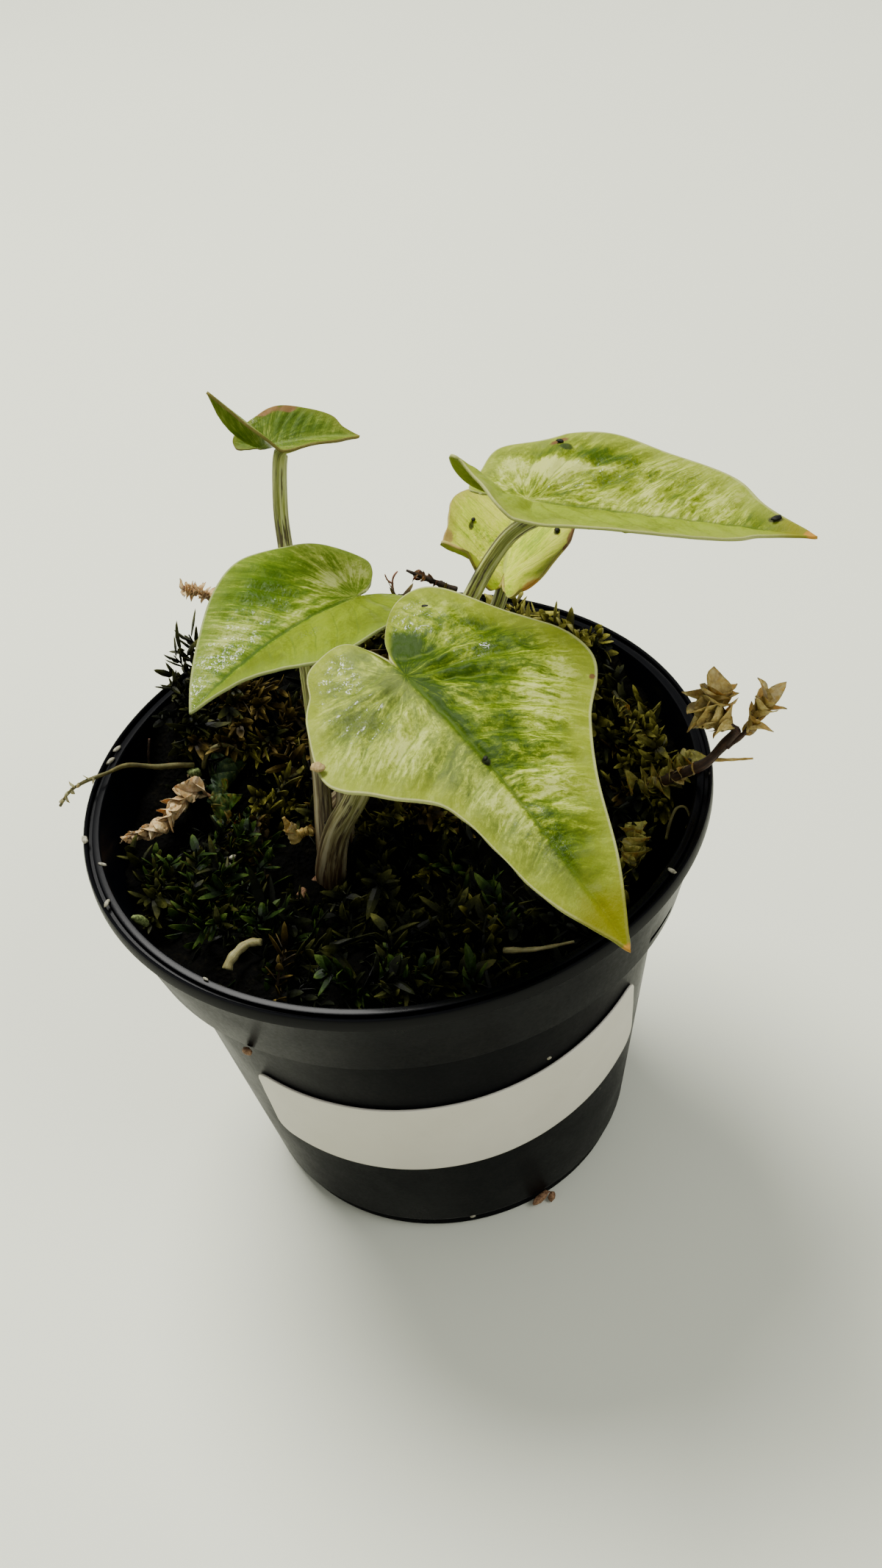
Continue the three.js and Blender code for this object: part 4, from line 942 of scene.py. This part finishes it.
def makeTuft(chance, plump, slim=False):
    # One mossy strand that grows along +Z and bends, with leaflets in a spiral
    bend = chance.uniform(0.4, 2.2)
    length = leafTuft["length"] * chance.uniform(0.75, 1.25)
    sway = chance.uniform(-0.7, 0.7)
    route = [(bend * t * t, sway * math.sin(3 * t), length * (t - 0.12 * bend * t * t))
             for t in (0, 0.35, 0.7, 1)]
    bm = bmesh.new()
    sweepStem(bm, route, 4, 4, lambda t: leafTuft["stem"] * (1 - 0.6 * t))
    count = leafTuft["leaflets"]
    path = smoothRoute(route, count)
    for i in range(count):
        share = (i + 0.5) / count
        ahead = (path[i + 1] - path[i]).normalized()
        side = ahead.orthogonal().normalized()
        side.rotate(Matrix.Rotation(i * spiralTurn + chance.uniform(-0.5, 0.5), 3, ahead))
        hug = chance.uniform(0.9, 2.2) if slim else chance.uniform(0.4, 2)
        way = (ahead * hug + side).normalized()
        size = leafTuft["leaflet"] * chance.uniform(0.5, 1.25) * (0.75 + plump * share)
        width = leafTuft["width"] * chance.uniform(0.6, 1.3) * (0.85 if slim else 1)
        cup = chance.uniform(-0.2, 0.9) * width
        addLeaflet(bm, path[i], way, side, size, width, cup, chance.uniform(-0.3, 0.6))
    return meshFrom(bm, "tuft", 1)


def keepInMouth(mesh):
    # A strand that would poke through the pot wall moves inwards by what it is over
    over, way = 0, Vector()
    for v in mesh.vertices:
        beyond = v.co.xy.length - mouthInside(v.co.z) + 0.2
        if v.co.z < pot["height"] + 0.4 and beyond > over:
            over, way = beyond, v.co.xy.normalized().to_3d()
    mesh.transform(Matrix.Translation(-way * over))


def hidesBit(mesh):
    # Whether a strand stands before a cleared spot, seen from the photo's side
    eye = Vector(view["place"])
    level = moss["level"]
    for v in mesh.vertices:
        seen = eye.lerp(v.co, (eye.z - level) / (eye.z - v.co.z))
        if v.co.z > level and any(math.dist(seen[:2], (x, y)) < inSight * r for x, y, r in clearings):
            return True
    return False


def growMoss():
    chance = random.Random(17)
    tufts = [makeTuft(chance, 0.3 * (i % 3)) for i in range(leafTuft["variants"])]
    slim = [makeTuft(chance, 0.2, slim=True) for _ in range(leafTuft["slimVariants"])]
    beds = {kind: bmesh.new() for kind in mossTints}

    def plant(x, y, lean, size, kind, lift=0.0, turn=None):
        if turn is None:
            size *= chance.uniform(0.55, 1.1)
            turn = chance.uniform(0, 2 * math.pi)
            if math.hypot(x, y) > moss["wallZone"]:
                turn = math.atan2(-y, -x) + chance.uniform(-1.9, 1.9)
        root = Vector((x, y, mossHeight(x, y) + moss["lift"] + lift))
        spot = (Matrix.Translation(root) @ Matrix.Rotation(turn, 4, "Z") @ Matrix.Rotation(lean, 4, "Y")
                @ Matrix.Rotation(chance.uniform(0, 6.3), 4, "Z") @ Matrix.Scale(size, 4))
        tuft = chance.choice(slim if lift < 0 else tufts).copy()
        tuft.transform(spot)
        keepInMouth(tuft)
        if not hidesBit(tuft):
            beds[kind].from_mesh(tuft)
        bpy.data.meshes.remove(tuft)

    for _ in range(moss["strands"]):
        r, a = moss["reach"] * math.sqrt(chance.random()), chance.uniform(0, 2 * math.pi)
        x, y = r * math.cos(a), r * math.sin(a)
        kind = chance.choice(moss["frontKinds"] if y < -4 else moss["backKinds"])
        plant(x, y, math.radians(chance.uniform(50, 90)), 1, kind)
    for (cx, cy), spread, count, lean, size, kind in clumps:
        keep = moss["backKeep"]
        if cy < moss["frontFrom"]:
            count, size = round(count * moss["frontCount"]), size * moss["frontSize"]
            keep = moss["frontKeep"]
        for _ in range(count):
            r, a = spread * math.sqrt(chance.random()), chance.uniform(0, 2 * math.pi)
            x, y = cx + r * math.cos(a), cy + r * math.sin(a)
            tilt = math.radians(min(86, max(5, chance.gauss(lean, 16))))
            # A scrap that drops its own tint takes a near-black one, painted shade, and at the front more
            # often
            tone = kind if chance.random() < keep else chance.choice(["shade", "dark"])
            bare = any(math.dist((x, y), spot) < reach for *spot, reach in clearings)
            if math.hypot(x, y) < moss["reach"] + 0.5 and not bare:
                plant(x, y, tilt, size, tone, chance.uniform(0, 1))
    for x, y, turn, length, lean in shoots:
        for spread in (0, 1):
            size = length / leafTuft["length"] * (1.05 - 0.3 * spread)
            # Left shoots take the shade tint, painted shade; right ones the pale tan, partly their own colour
            # and partly painted light
            tone, lift = ("shade", -0.1) if x < 0 else ("tan", 0.1)
            plant(x + spread, y - spread, lean + 0.3 * spread + 4 * max(lift, 0), size, tone, lift,
                  math.radians(turn + 80 * spread))
    for kind, bed in beds.items():
        print("  moss", kind, len(bed.faces))
        finishPiece(f"moss_{kind}", bed, mossFinish(kind), "moss", smooth=False)
    for tuft in tufts + slim:
        bpy.data.meshes.remove(tuft)


def mossFinish(kind):
    f = Finish(f"mossLeaf_{kind}")
    place = f.place()
    patch = f.speckle(place, 0.3, 2)
    fine = f.speckle(place, 2.2, 3, 0.7)
    # Leaflets are lighter at their tips and near black at their bases: painted light on the lit tips and
    # painted shade at the bases
    tip = f.clamp(f.attribute("tip"), 0.1, 1.0)
    tint = patch * 0.55 + fine * 0.35 + tip * 0.34 - 0.1
    colour = f.ramp(tint, mossTints[kind])
    return f.surface(Base_Color=colour, Roughness=fine * 0.25 + 0.36, Normal=f.bump(fine, 0.35, 0.00012),
                     Specular_IOR_Level=0.07)


def mossGroundFinish():
    f = Finish("shadedMossGround")
    place = f.place()
    lumps = f.speckle(place, 0.9, 5, 0.7)
    fibres = f.cells(place, 1.7)
    # Near black all over: painted shade beneath the strands
    colour = f.ramp(lumps, [(0.35, (0.0003, 0.0003, 0.0002)), (0.55, (0.0012, 0.0011, 0.0005)),
                            (0.75, (0.006, 0.005, 0.002))])
    normal = f.bump(lumps + fibres * 0.6, 0.8, 0.0006)
    return f.surface(Base_Color=colour, Roughness=lumps * 0.2 + 0.7, Normal=normal, Specular_IOR_Level=0.03)


# Corm: a lying rootstock just under the moss, with roots that go down

corm = {"centre": (-8.6, -1.4, 41.8), "half": (2.45, 7.1, 4.25), "roots": 9}


def makeCorm(material):
    chance = random.Random(5)
    bm = bmesh.new()
    verts = bmesh.ops.create_uvsphere(bm, u_segments=32, v_segments=24, radius=1)["verts"]
    centre, half = Vector(corm["centre"]), Vector(corm["half"])
    for v in verts:
        lump = 1 - 0.1 * abs(noise.noise(v.co * 2.2)) - 0.03 * math.sin(16 * v.co.y)
        v.co = centre + Vector([c * h * lump for c, h in zip(v.co, half)])
    for i in range(corm["roots"]):
        y = centre.y + (i / (corm["roots"] - 1) - 0.5) * 11
        x = centre.x + chance.uniform(-1, 1)
        top = Vector((x, y, centre.z - 2.4))
        route = [top + Vector((chance.uniform(-0.5, 0.5), chance.uniform(-0.4, 0.4), -down))
                 for down in (0, 1.5, 3, 4.7)]
        sweepStem(bm, route, 8, 6, lambda t: 0.34 * (1 - 0.6 * t))
    bmesh.ops.recalc_face_normals(bm, faces=bm.faces)
    return finishPiece("rootstock", bm, material, "corm", "corm")


def barkFinish():
    f = Finish("rootSkin")
    grain = f.speckle(f.place((1400, 300, 1400)), 1.0, 4, 0.65)
    blotch = f.speckle(f.place(), 0.5, 3)
    tone = f.clamp(grain * 0.6 + blotch * 0.5, 0.35, 0.75)
    colour = f.mix((0.03, 0.015, 0.006), (0.14, 0.08, 0.035), tone)
    return f.surface(Base_Color=colour, Roughness=grain * 0.2 + 0.6, Normal=f.bump(grain, 0.5, 0.0003))


# Dry sprigs and strands: stems with papery bracts, on the same routes as the solids.
# Each has slot, look and seed, then its stems: radius, share of it left at the tip, kind, route
# and the row of bracts: count, from, to, lean, length at the foot and at the tip, width

sprigs = {
    "dry_sprig_left": ("dry_sprig", "paper", 3, [
        (0.3, 0.7, "back", [(-31.8, 2.9, 50.2), (-30, 3.6, 50), (-27.6, 4.4, 50.2), (-24.8, 7, 50.7),
         (-22.9, 8, 50.8), (-21.5, 7.6, 50)], (26, 0.03, 0.97, 2.6, 1.5, 4.1, 0.36)),
    ]),
    "dry_sprig_right": ("dry_sprig", "papery", 8, [
        (0.62, 0.85, "plain", [(28.2, -4, 50.4), (30, -6.4, 53), (32.1, -8.2, 55.3), (34.2, -8.8, 56.7),
         (35.8, -8.8, 58.4), (37.4, -10, 61.6)], (12, 0.0, 0.5, 0.9, 1.6, 2.1, 0.42)),
        (0.45, 0.6, "plain", [(37.4, -10, 61.6), (36.2, -9.2, 62.4), (35.2, -8.6, 63.2),
         (35.6, -8.2, 64.6)], (26, 0.04, 0.99, 0.8, 3, 4.3, 0.44)),
        (0.36, 0.6, "plain", [(36.4, -9.4, 59), (38.2, -10, 61), (39.5, -9.9, 62.8), (40.6, -10, 64.6)],
         (15, 0.34, 0.99, 1.3, 2.6, 4, 0.26)),
        (0.24, 0.5, "pale", [(34.6, -8.8, 56.9), (37, -9.5, 57), (39.1, -10.1, 57.2)], ()),
    ]),
    "trailing_strand_left": ("strand", "strand", 5, [
        (0.36, 0.45, "plain", [(-23.2, 11.7, 52), (-25, 11.5, 52.6), (-27.4, 11.4, 53), (-30.7, 11.2, 54.2),
         (-33, 9.2, 55.2), (-34.8, 8.3, 55.5), (-36.4, 7.9, 55.2), (-37.8, 8, 54.2), (-39.1, 7.9, 52.6)],
         (9, 0.66, 0.96, 0.7, 0.7, 1.1, 0.32)),
    ]),
    "curled_strand": ("strand", "strand", 2, [
        (0.3, 0.7, "plain", [(-22.2, 11.8, 51.2), (-21.7, 11.8, 52.6), (-20.9, 11.9, 53.6),
         (-19.6, 12, 54.1), (-18.4, 12.4, 53.1), (-17.7, 12.7, 51.8), (-17.6, 12.8, 51)], ()),
    ]),
    "tan_sprout": ("dry_sprig", "papery", 12, [
        (0.8, 0.25, "pale", [(-12.3, -2.2, 49.9), (-12.6, -1.9, 51.1), (-13.2, -1.2, 52.8)],
         (4, 0.05, 0.4, 1.6, 1.7, 1.9, 0.5)),
        (0.6, 0.8, "pale", [(-12.2, -2, 50.2), (-11.5, -1.6, 50.3), (-10.8, -1.5, 50.3)],
         (3, 0.5, 0.95, 1.4, 1.1, 1.2, 0.5)),
    ]),
    "pale_stalk": ("straw", "straw", 4, [
        (0.55, 0.8, "plain", [(-21.4, -19, 48.4), (-21, -18.4, 48.9), (-20, -17.5, 49.3),
         (-18.8, -16.6, 49.3), (-17.4, -17.1, 49.7)], ()),
    ]),
    "straw_front": ("straw", "straw", 6, [
        (0.36, 0.35, "plain", [(8.3, -23.8, 48.7), (11.7, -25, 49.3), (15.8, -24.8, 49.2)], ()),
    ]),
    "twig_back": ("twig", "bark", 21, [
        (0.5, 0.35, "plain", [(11.7, 30, 57.3), (9, 30.2, 59.2), (7, 30.6, 60.4), (6, 31, 60.9)],
         (9, 0.05, 0.8, 0.8, 1.2, 1.6, 0.4)),
    ]),
    "seed_head_back": ("dry_sprig", "paper", 34, [
        (0.34, 0.8, "plain", [(-18.4, 24.4, 56.4), (-17.2, 24.4, 61.5), (-17.9, 24.2, 66.6),
         (-20.6, 24, 68.8)], (26, 0.74, 0.99, 0.5, 1.2, 1.5, 0.35)),
    ]),
}
# What the solids leave out: these have no node of their own
litter = {
    "upright_stick": ("twig", "bark", 31, [
        (0.24, 0.6, "plain", [(-29.1, 15.9, 48), (-28.9, 16, 50.6), (-28.2, 16.6, 53.2)], ()),
    ]),
    "pink_shoot": ("strand", "pink", 32, [
        (0.2, 0.6, "plain", [(4.4, 30.6, 55), (4.1, 31.2, 57), (4, 31.5, 58.6), (4.3, 31.6, 59.8),
         (4.9, 31.5, 60.6)], ()),
        (0.14, 0.6, "plain", [(4.1, 31.5, 58.8), (3.5, 31.5, 59.6), (3.3, 31.5, 60.5)], ()),
    ]),
    "green_clump": ("moss", "green", 33, [
        (0.4, 0.5, "plain", [(-20.6, 2.6, 47.8), (-20.4, 5, 49.2), (-20.6, 8, 49.8), (-20, 10.8, 50)],
         (12, 0.02, 0.97, 0.9, 3, 4.2, 0.45)),
    ]),
    "right_shoot": ("moss", "olive", 34, [
        (0.4, 0.5, "plain", [(25.8, -5, 49.6), (28.2, -5.4, 51.6), (30.8, -5.8, 53), (33, -6, 55)],
         (26, 0.02, 0.98, 1, 3.3, 2.4, 0.42)),
        (0.36, 0.5, "plain", [(24.2, -14.6, 47.6), (24.6, -13.6, 49.4), (25.2, -12.4, 50.8)],
         (14, 0.05, 0.98, 1, 3.2, 2.4, 0.5)),
        (0.3, 0.5, "plain", [(27.2, 8.6, 54.4), (28, 4.6, 53.8), (28.9, 0.4, 52.6)],
         (18, 0.05, 0.98, 1.1, 1.8, 1.5, 0.4)),
        (0.3, 0.5, "plain", [(-22.6, -9.4, 47.4), (-21.4, -8, 49.2), (-20.6, -6.4, 50)],
         (14, 0.05, 0.98, 0.8, 1.7, 1.4, 0.45)),
    ]),
    "right_tendril": ("strand", "strand", 35, [
        (0.2, 0.6, "plain", [(28.6, -12.4, 49.6), (29.2, -11.6, 51), (30.2, -10.6, 52.2),
         (31.2, -10.8, 52.4), (31.5, -11.8, 51.4), (30.9, -12.2, 50.6)], ()),
    ]),
}
# Lengthwise stem colours, then bract colours
sprigTints = {
    "paper": ([(0.3, (0.05, 0.025, 0.01)), (0.5, (0.16, 0.09, 0.04)), (0.7, (0.3, 0.2, 0.1))],
              [(0.3, (0.22, 0.11, 0.035)), (0.46, (0.46, 0.29, 0.12)), (0.62, (0.68, 0.51, 0.28))]),
    "papery": ([(0.3, (0.008, 0.004, 0.002)), (0.5, (0.03, 0.015, 0.008)), (0.7, (0.09, 0.05, 0.025))],
               [(0.3, (0.14, 0.08, 0.012)), (0.48, (0.36, 0.25, 0.06)), (0.7, (0.62, 0.5, 0.2))]),
    "strand": ([(0.3, (0.02, 0.017, 0.004)), (0.5, (0.075, 0.066, 0.016)), (0.7, (0.17, 0.16, 0.05))],
               [(0.3, (0.1, 0.09, 0.03)), (0.5, (0.22, 0.2, 0.08)), (0.7, (0.4, 0.38, 0.2))]),
    "straw": ([(0.3, (0.08, 0.07, 0.022)), (0.5, (0.2, 0.18, 0.07)), (0.7, (0.36, 0.34, 0.18))],) * 2,
    "bark": ([(0.3, (0.006, 0.004, 0.002)), (0.5, (0.025, 0.015, 0.008)), (0.7, (0.09, 0.06, 0.03))],) * 2,
    "pink": ([(0.3, (0.2, 0.09, 0.05)), (0.5, (0.36, 0.19, 0.12)), (0.7, (0.5, 0.32, 0.22))],) * 2,
    "green": ([(0.3, (0.002, 0.004, 0.001)), (0.5, (0.006, 0.012, 0.004)), (0.7, (0.02, 0.03, 0.01))],
              [(0.35, (0.002, 0.008, 0.001)), (0.52, (0.014, 0.036, 0.006)), (0.68, (0.11, 0.14, 0.035))]),
    "olive": ([(0.3, (0.01, 0.01, 0.002)), (0.5, (0.03, 0.03, 0.006)), (0.7, (0.08, 0.08, 0.02))],
              [(0.3, (0.05, 0.045, 0.005)), (0.5, (0.2, 0.18, 0.026)), (0.68, (0.46, 0.42, 0.11))]),
}


def addBract(bm, at, way, outward, length, width, chance):
    # A papery leaf cupped round its stem, with a pointed tip. The attribute tells it from the stem
    verts = bmesh.ops.create_grid(bm, x_segments=4, y_segments=7, size=1)["verts"]
    cup, curl, fray = chance.uniform(0.5, 1), chance.uniform(-0.1, 0.35), chance.uniform(0, 6)
    for v in verts:
        t = (v.co.y + 1) / 2
        profile = math.sin(math.pi * min(1, t ** 0.8)) ** 0.65 * (1 - 0.2 * t) + 0.1 * (1 - t)
        across = v.co.x * profile
        wave = 0.04 * length * math.sin(9 * t + fray) * abs(v.co.x)
        rise = curl * length * t * t - cup * width * length * across ** 2 + wave
        v.co = Vector((across * width * length, rise, t * length))
    faces = list({f for v in verts for f in v.link_faces})
    thick = bmesh.ops.solidify(bm, geom=faces, thickness=0.07)["geom"]
    every = list(set(verts) | {g for g in thick if isinstance(g, bmesh.types.BMVert)})
    bract = addAttribute(bm, "bract")
    for v in every:
        v[bract] = 1
    bmesh.ops.transform(bm, matrix=scaleTurn(at, way, outward), verts=every)


def makeSprig(name, sprig, finishes, *nodes):
    slotName, look, seed, stems = sprig
    chance = random.Random(seed)
    bm = bmesh.new()
    for radius, thin, kind, route, bracts in stems:
        knots = chance.uniform(0, 6)
        made = len(bm.verts)
        sweepStem(bm, route, 28, 10,
                  lambda t: radius * (1 + (thin - 1) * t) * (1 + 0.1 * math.sin(23 * t + knots)), 0.05)
        bractLayer = addAttribute(bm, "bract")
        for v in list(bm.verts)[made:]:
            v[bractLayer] = 1 if kind == "pale" else 0
        if not bracts:
            continue
        count, first, last, lean, low, high, width = bracts
        path = smoothRoute(route, 200)
        for i in range(count):
            share = first + (last - first) * (i + 0.5) / count
            k = int(share * 199)
            ahead = (path[k + 1] - path[k]).normalized() * (-1 if kind == "back" else 1)
            side = ahead.orthogonal().normalized()
            side.rotate(Matrix.Rotation(i * spiralTurn + chance.uniform(-0.5, 0.5), 3, ahead))
            way = (ahead * lean + side * chance.uniform(0.5, 1)).normalized()
            size = (low + (high - low) * share) * chance.uniform(0.75, 1.1)
            addBract(bm, path[k], way, side, size, width * chance.uniform(0.8, 1.2), chance)
    return finishPiece(f"{name}_fine", bm, finishes[look], slotName, *nodes)


def sprigFinish(look):
    f = Finish(f"drySkin_{look}")
    place = f.place()
    stemStops, bractStops = sprigTints[look]
    patch = f.speckle(place, 0.7, 3, 0.6)
    fine = f.speckle(f.place((3000, 1600, 3000)), 1.0, 4, 0.65)
    grain = f.stemGrain(2.2, 0.5)
    stem = f.ramp(grain * 0.6 + patch * 0.4, stemStops)
    bract = f.ramp(patch * 0.6 + fine * 0.4, bractStops)
    colour = f.mix(stem, bract, f.attribute("bract"))
    normal = f.bump(fine + grain * 0.4, 0.4, 0.0002)
    return f.surface(Base_Color=colour, Roughness=fine * 0.2 + 0.5, Normal=normal, Subsurface_Weight=0.12,
                     Subsurface_Scale=0.0008, Specular_IOR_Level=0.25)


# Crumbs: specks on the leaves, chips and grit on the rim and wall.
# Bits: place, way up, size three ways, spin in degrees
crumbs = {
    "pale_grit": {
        "tint": ((0.16, 0.15, 0.1), (0.42, 0.4, 0.3)), "slot": "moss",
        "bits": [
            ((-35.7, -0.8, 54.4), (0, 0, 1), (0.7, 0.38, 0.25), 100),
            ((-33.2, -11.7, 54.4), (0, 0, 1), (0.6, 0.24, 0.16), 70),
            ((-33.7, -5.2, 54.2), (0.4, 0, 1), (0.5, 0.22, 0.16), 80),
            ((-32.7, 12.3, 54.4), (0, 0, 1), (0.7, 0.3, 0.2), 50),
            ((-31.9, 14.3, 54.4), (0, 0, 1), (0.6, 0.25, 0.2), 45),
            ((27.2, -22.1, 54.4), (0, 0, 1), (0.6, 0.25, 0.2), -50),
            ((-22.9, -25.6, 54.4), (0, 0, 1), (0.4, 0.15, 0.12), -45),
            ((0.1, -23.1, 2.1), (0, -1, 0.2), (0.4, 0.22, 0.2), 0),
            ((-8.4, -34.5, 53.5), (-0.2, -1, 0), (0.5, 0.16, 0.12), 5),
            ((11.3, -29.2, 36.4), (0.4, -1, 0), (0.3, 0.2, 0.1), 0),
            ((-19.8, -2.4, 49.2), (0, 0, 1), (0.5, 0.3, 0.3), 30),
            ((-20.3, -3.1, 48.8), (0, 0, 1), (0.4, 0.25, 0.25), 120),
        ],
    },
    "bark_chips": {
        "tint": ((0.09, 0.04, 0.018), (0.34, 0.2, 0.1)), "slot": "moss",
        "bits": [
            ((-20.8, -25.4, 42), (-0.6, -0.7, -0.4), (0.8, 0.55, 0.45), 30),
            ((6.7, -34.8, 53.2), (0.2, -1, 0), (0.9, 0.18, 0.14), 12),
            ((8.8, -21.6, 1.2), (0.4, -1, 0.3), (1.3, 0.5, 0.5), 15),
            ((10.2, -21.4, 0.8), (0.4, -1, 0.3), (0.7, 0.5, 0.4), 60),
            ((-10, -6.6, 47.6), (0, -0.4, 1), (1.2, 0.6, 0.5), 10),
            ((-12.6, -8.6, 47.4), (0, -0.4, 1), (0.9, 0.5, 0.4), 70),
        ],
    },
    "green_buds": {
        "tint": ((0.05, 0.075, 0.014), (0.26, 0.32, 0.11)), "slot": "moss",
        "bits": [
            ((-30.6, -9.8, 49), (-0.5, -0.2, 1), (0.65, 0.55, 1.45), 40),
            ((-23.3, 11.3, 51), (0, -0.6, 1), (0.85, 0.6, 1.1), 10),
        ],
    },
    # On a blade: leaf, forward, aside, size along, size across
    "leaf_specks": {
        "tint": ((0.002, 0.002, 0.001), (0.02, 0.02, 0.012)), "slot": "leaf",
        "onLeaf": [
            ("front", -9.5, 7.4, 0.5, 0.32), ("front", 13.5, -0.1, 0.3, 0.25),
            ("right", 24.5, 1.6, 0.75, 0.36), ("small_right", 6.4, 4.7, 0.3, 0.25),
            ("small_right", 4.4, -0.5, 0.3, 0.22), ("right", -0.4, 10, 0.5, 0.3),
            ("small_right", 2.6, -7.2, 0.4, 0.3),
        ],
    },
    "leaf_nib": {
        "tint": ((0.2, 0.13, 0.04), (0.38, 0.28, 0.12)), "slot": "leaf",
        "onLeaf": [("front", 4.3, -13.7, 0.85, 0.6)],
    },
}


def addCrumb(bm, at, normal, sizes, spin):
    verts = bmesh.ops.create_icosphere(bm, subdivisions=2, radius=1)["verts"]
    turn = Vector(normal).to_track_quat("Z", "Y").to_matrix().to_4x4()
    turn = turn @ Matrix.Rotation(math.radians(spin), 4, "Z")
    for v in verts:
        lump = 1 + 0.35 * noise.noise(v.co * 1.7 + Vector(at))
        v.co = Vector([c * size * lump for c, size in zip(v.co, sizes)])
    bmesh.ops.transform(bm, matrix=Matrix.Translation(at) @ turn, verts=verts)


def scatterCrumbs():
    for name, kind in crumbs.items():
        bm = bmesh.new()
        for bit in kind.get("bits", []):
            addCrumb(bm, *bit)
        for key, forward, aside, along, across in kind.get("onLeaf", []):
            at = leafPoint(leaves[key], forward, aside, 0.22)
            addCrumb(bm, at, leafAxes(leaves[key])[2], (along, across, across * 0.6), 30 + 90 * forward)
        finishPiece(name, bm, crumbFinish(name, kind["tint"]), kind["slot"])


def crumbFinish(name, tint):
    f = Finish(f"crumb_{name}")
    fine = f.speckle(f.place(), 2.6, 4, 0.7)
    colour = f.mix(*tint, f.clamp(fine, 0.35, 0.68))
    return f.surface(Base_Color=colour, Roughness=fine * 0.3 + 0.5, Normal=f.bump(fine, 0.5, 0.0002),
                     Specular_IOR_Level=0.2)


print("camera and light")
placeCamera()
lightStudio()
makeFloor(floorFinish())

print("pot and label")
makePot(potFinish())
makeLabel(labelFinish())

print("leaves")
stemSkin = petioleFinish()
for leafName, leafLook in leafLooks.items():
    leafSlot = "old_leaf" if leafName == "small_right" else "leaf"
    makeBlade(leafName, bladeFinish(f"bladeSkin_{leafName}", leafLook), leafSlot)
    makePetiole(leafName, stemSkin)

print("moss")
makeMossBed(mossGroundFinish())
growMoss()
makeCorm(barkFinish())

print("sprigs")
sprigFinishes = {look: sprigFinish(look) for look in sprigTints}
for sprigName, sprig in sprigs.items():
    makeSprig(sprigName, sprig, sprigFinishes, sprigName)
for sprigName, sprig in litter.items():
    makeSprig(sprigName, sprig, sprigFinishes)
scatterCrumbs()
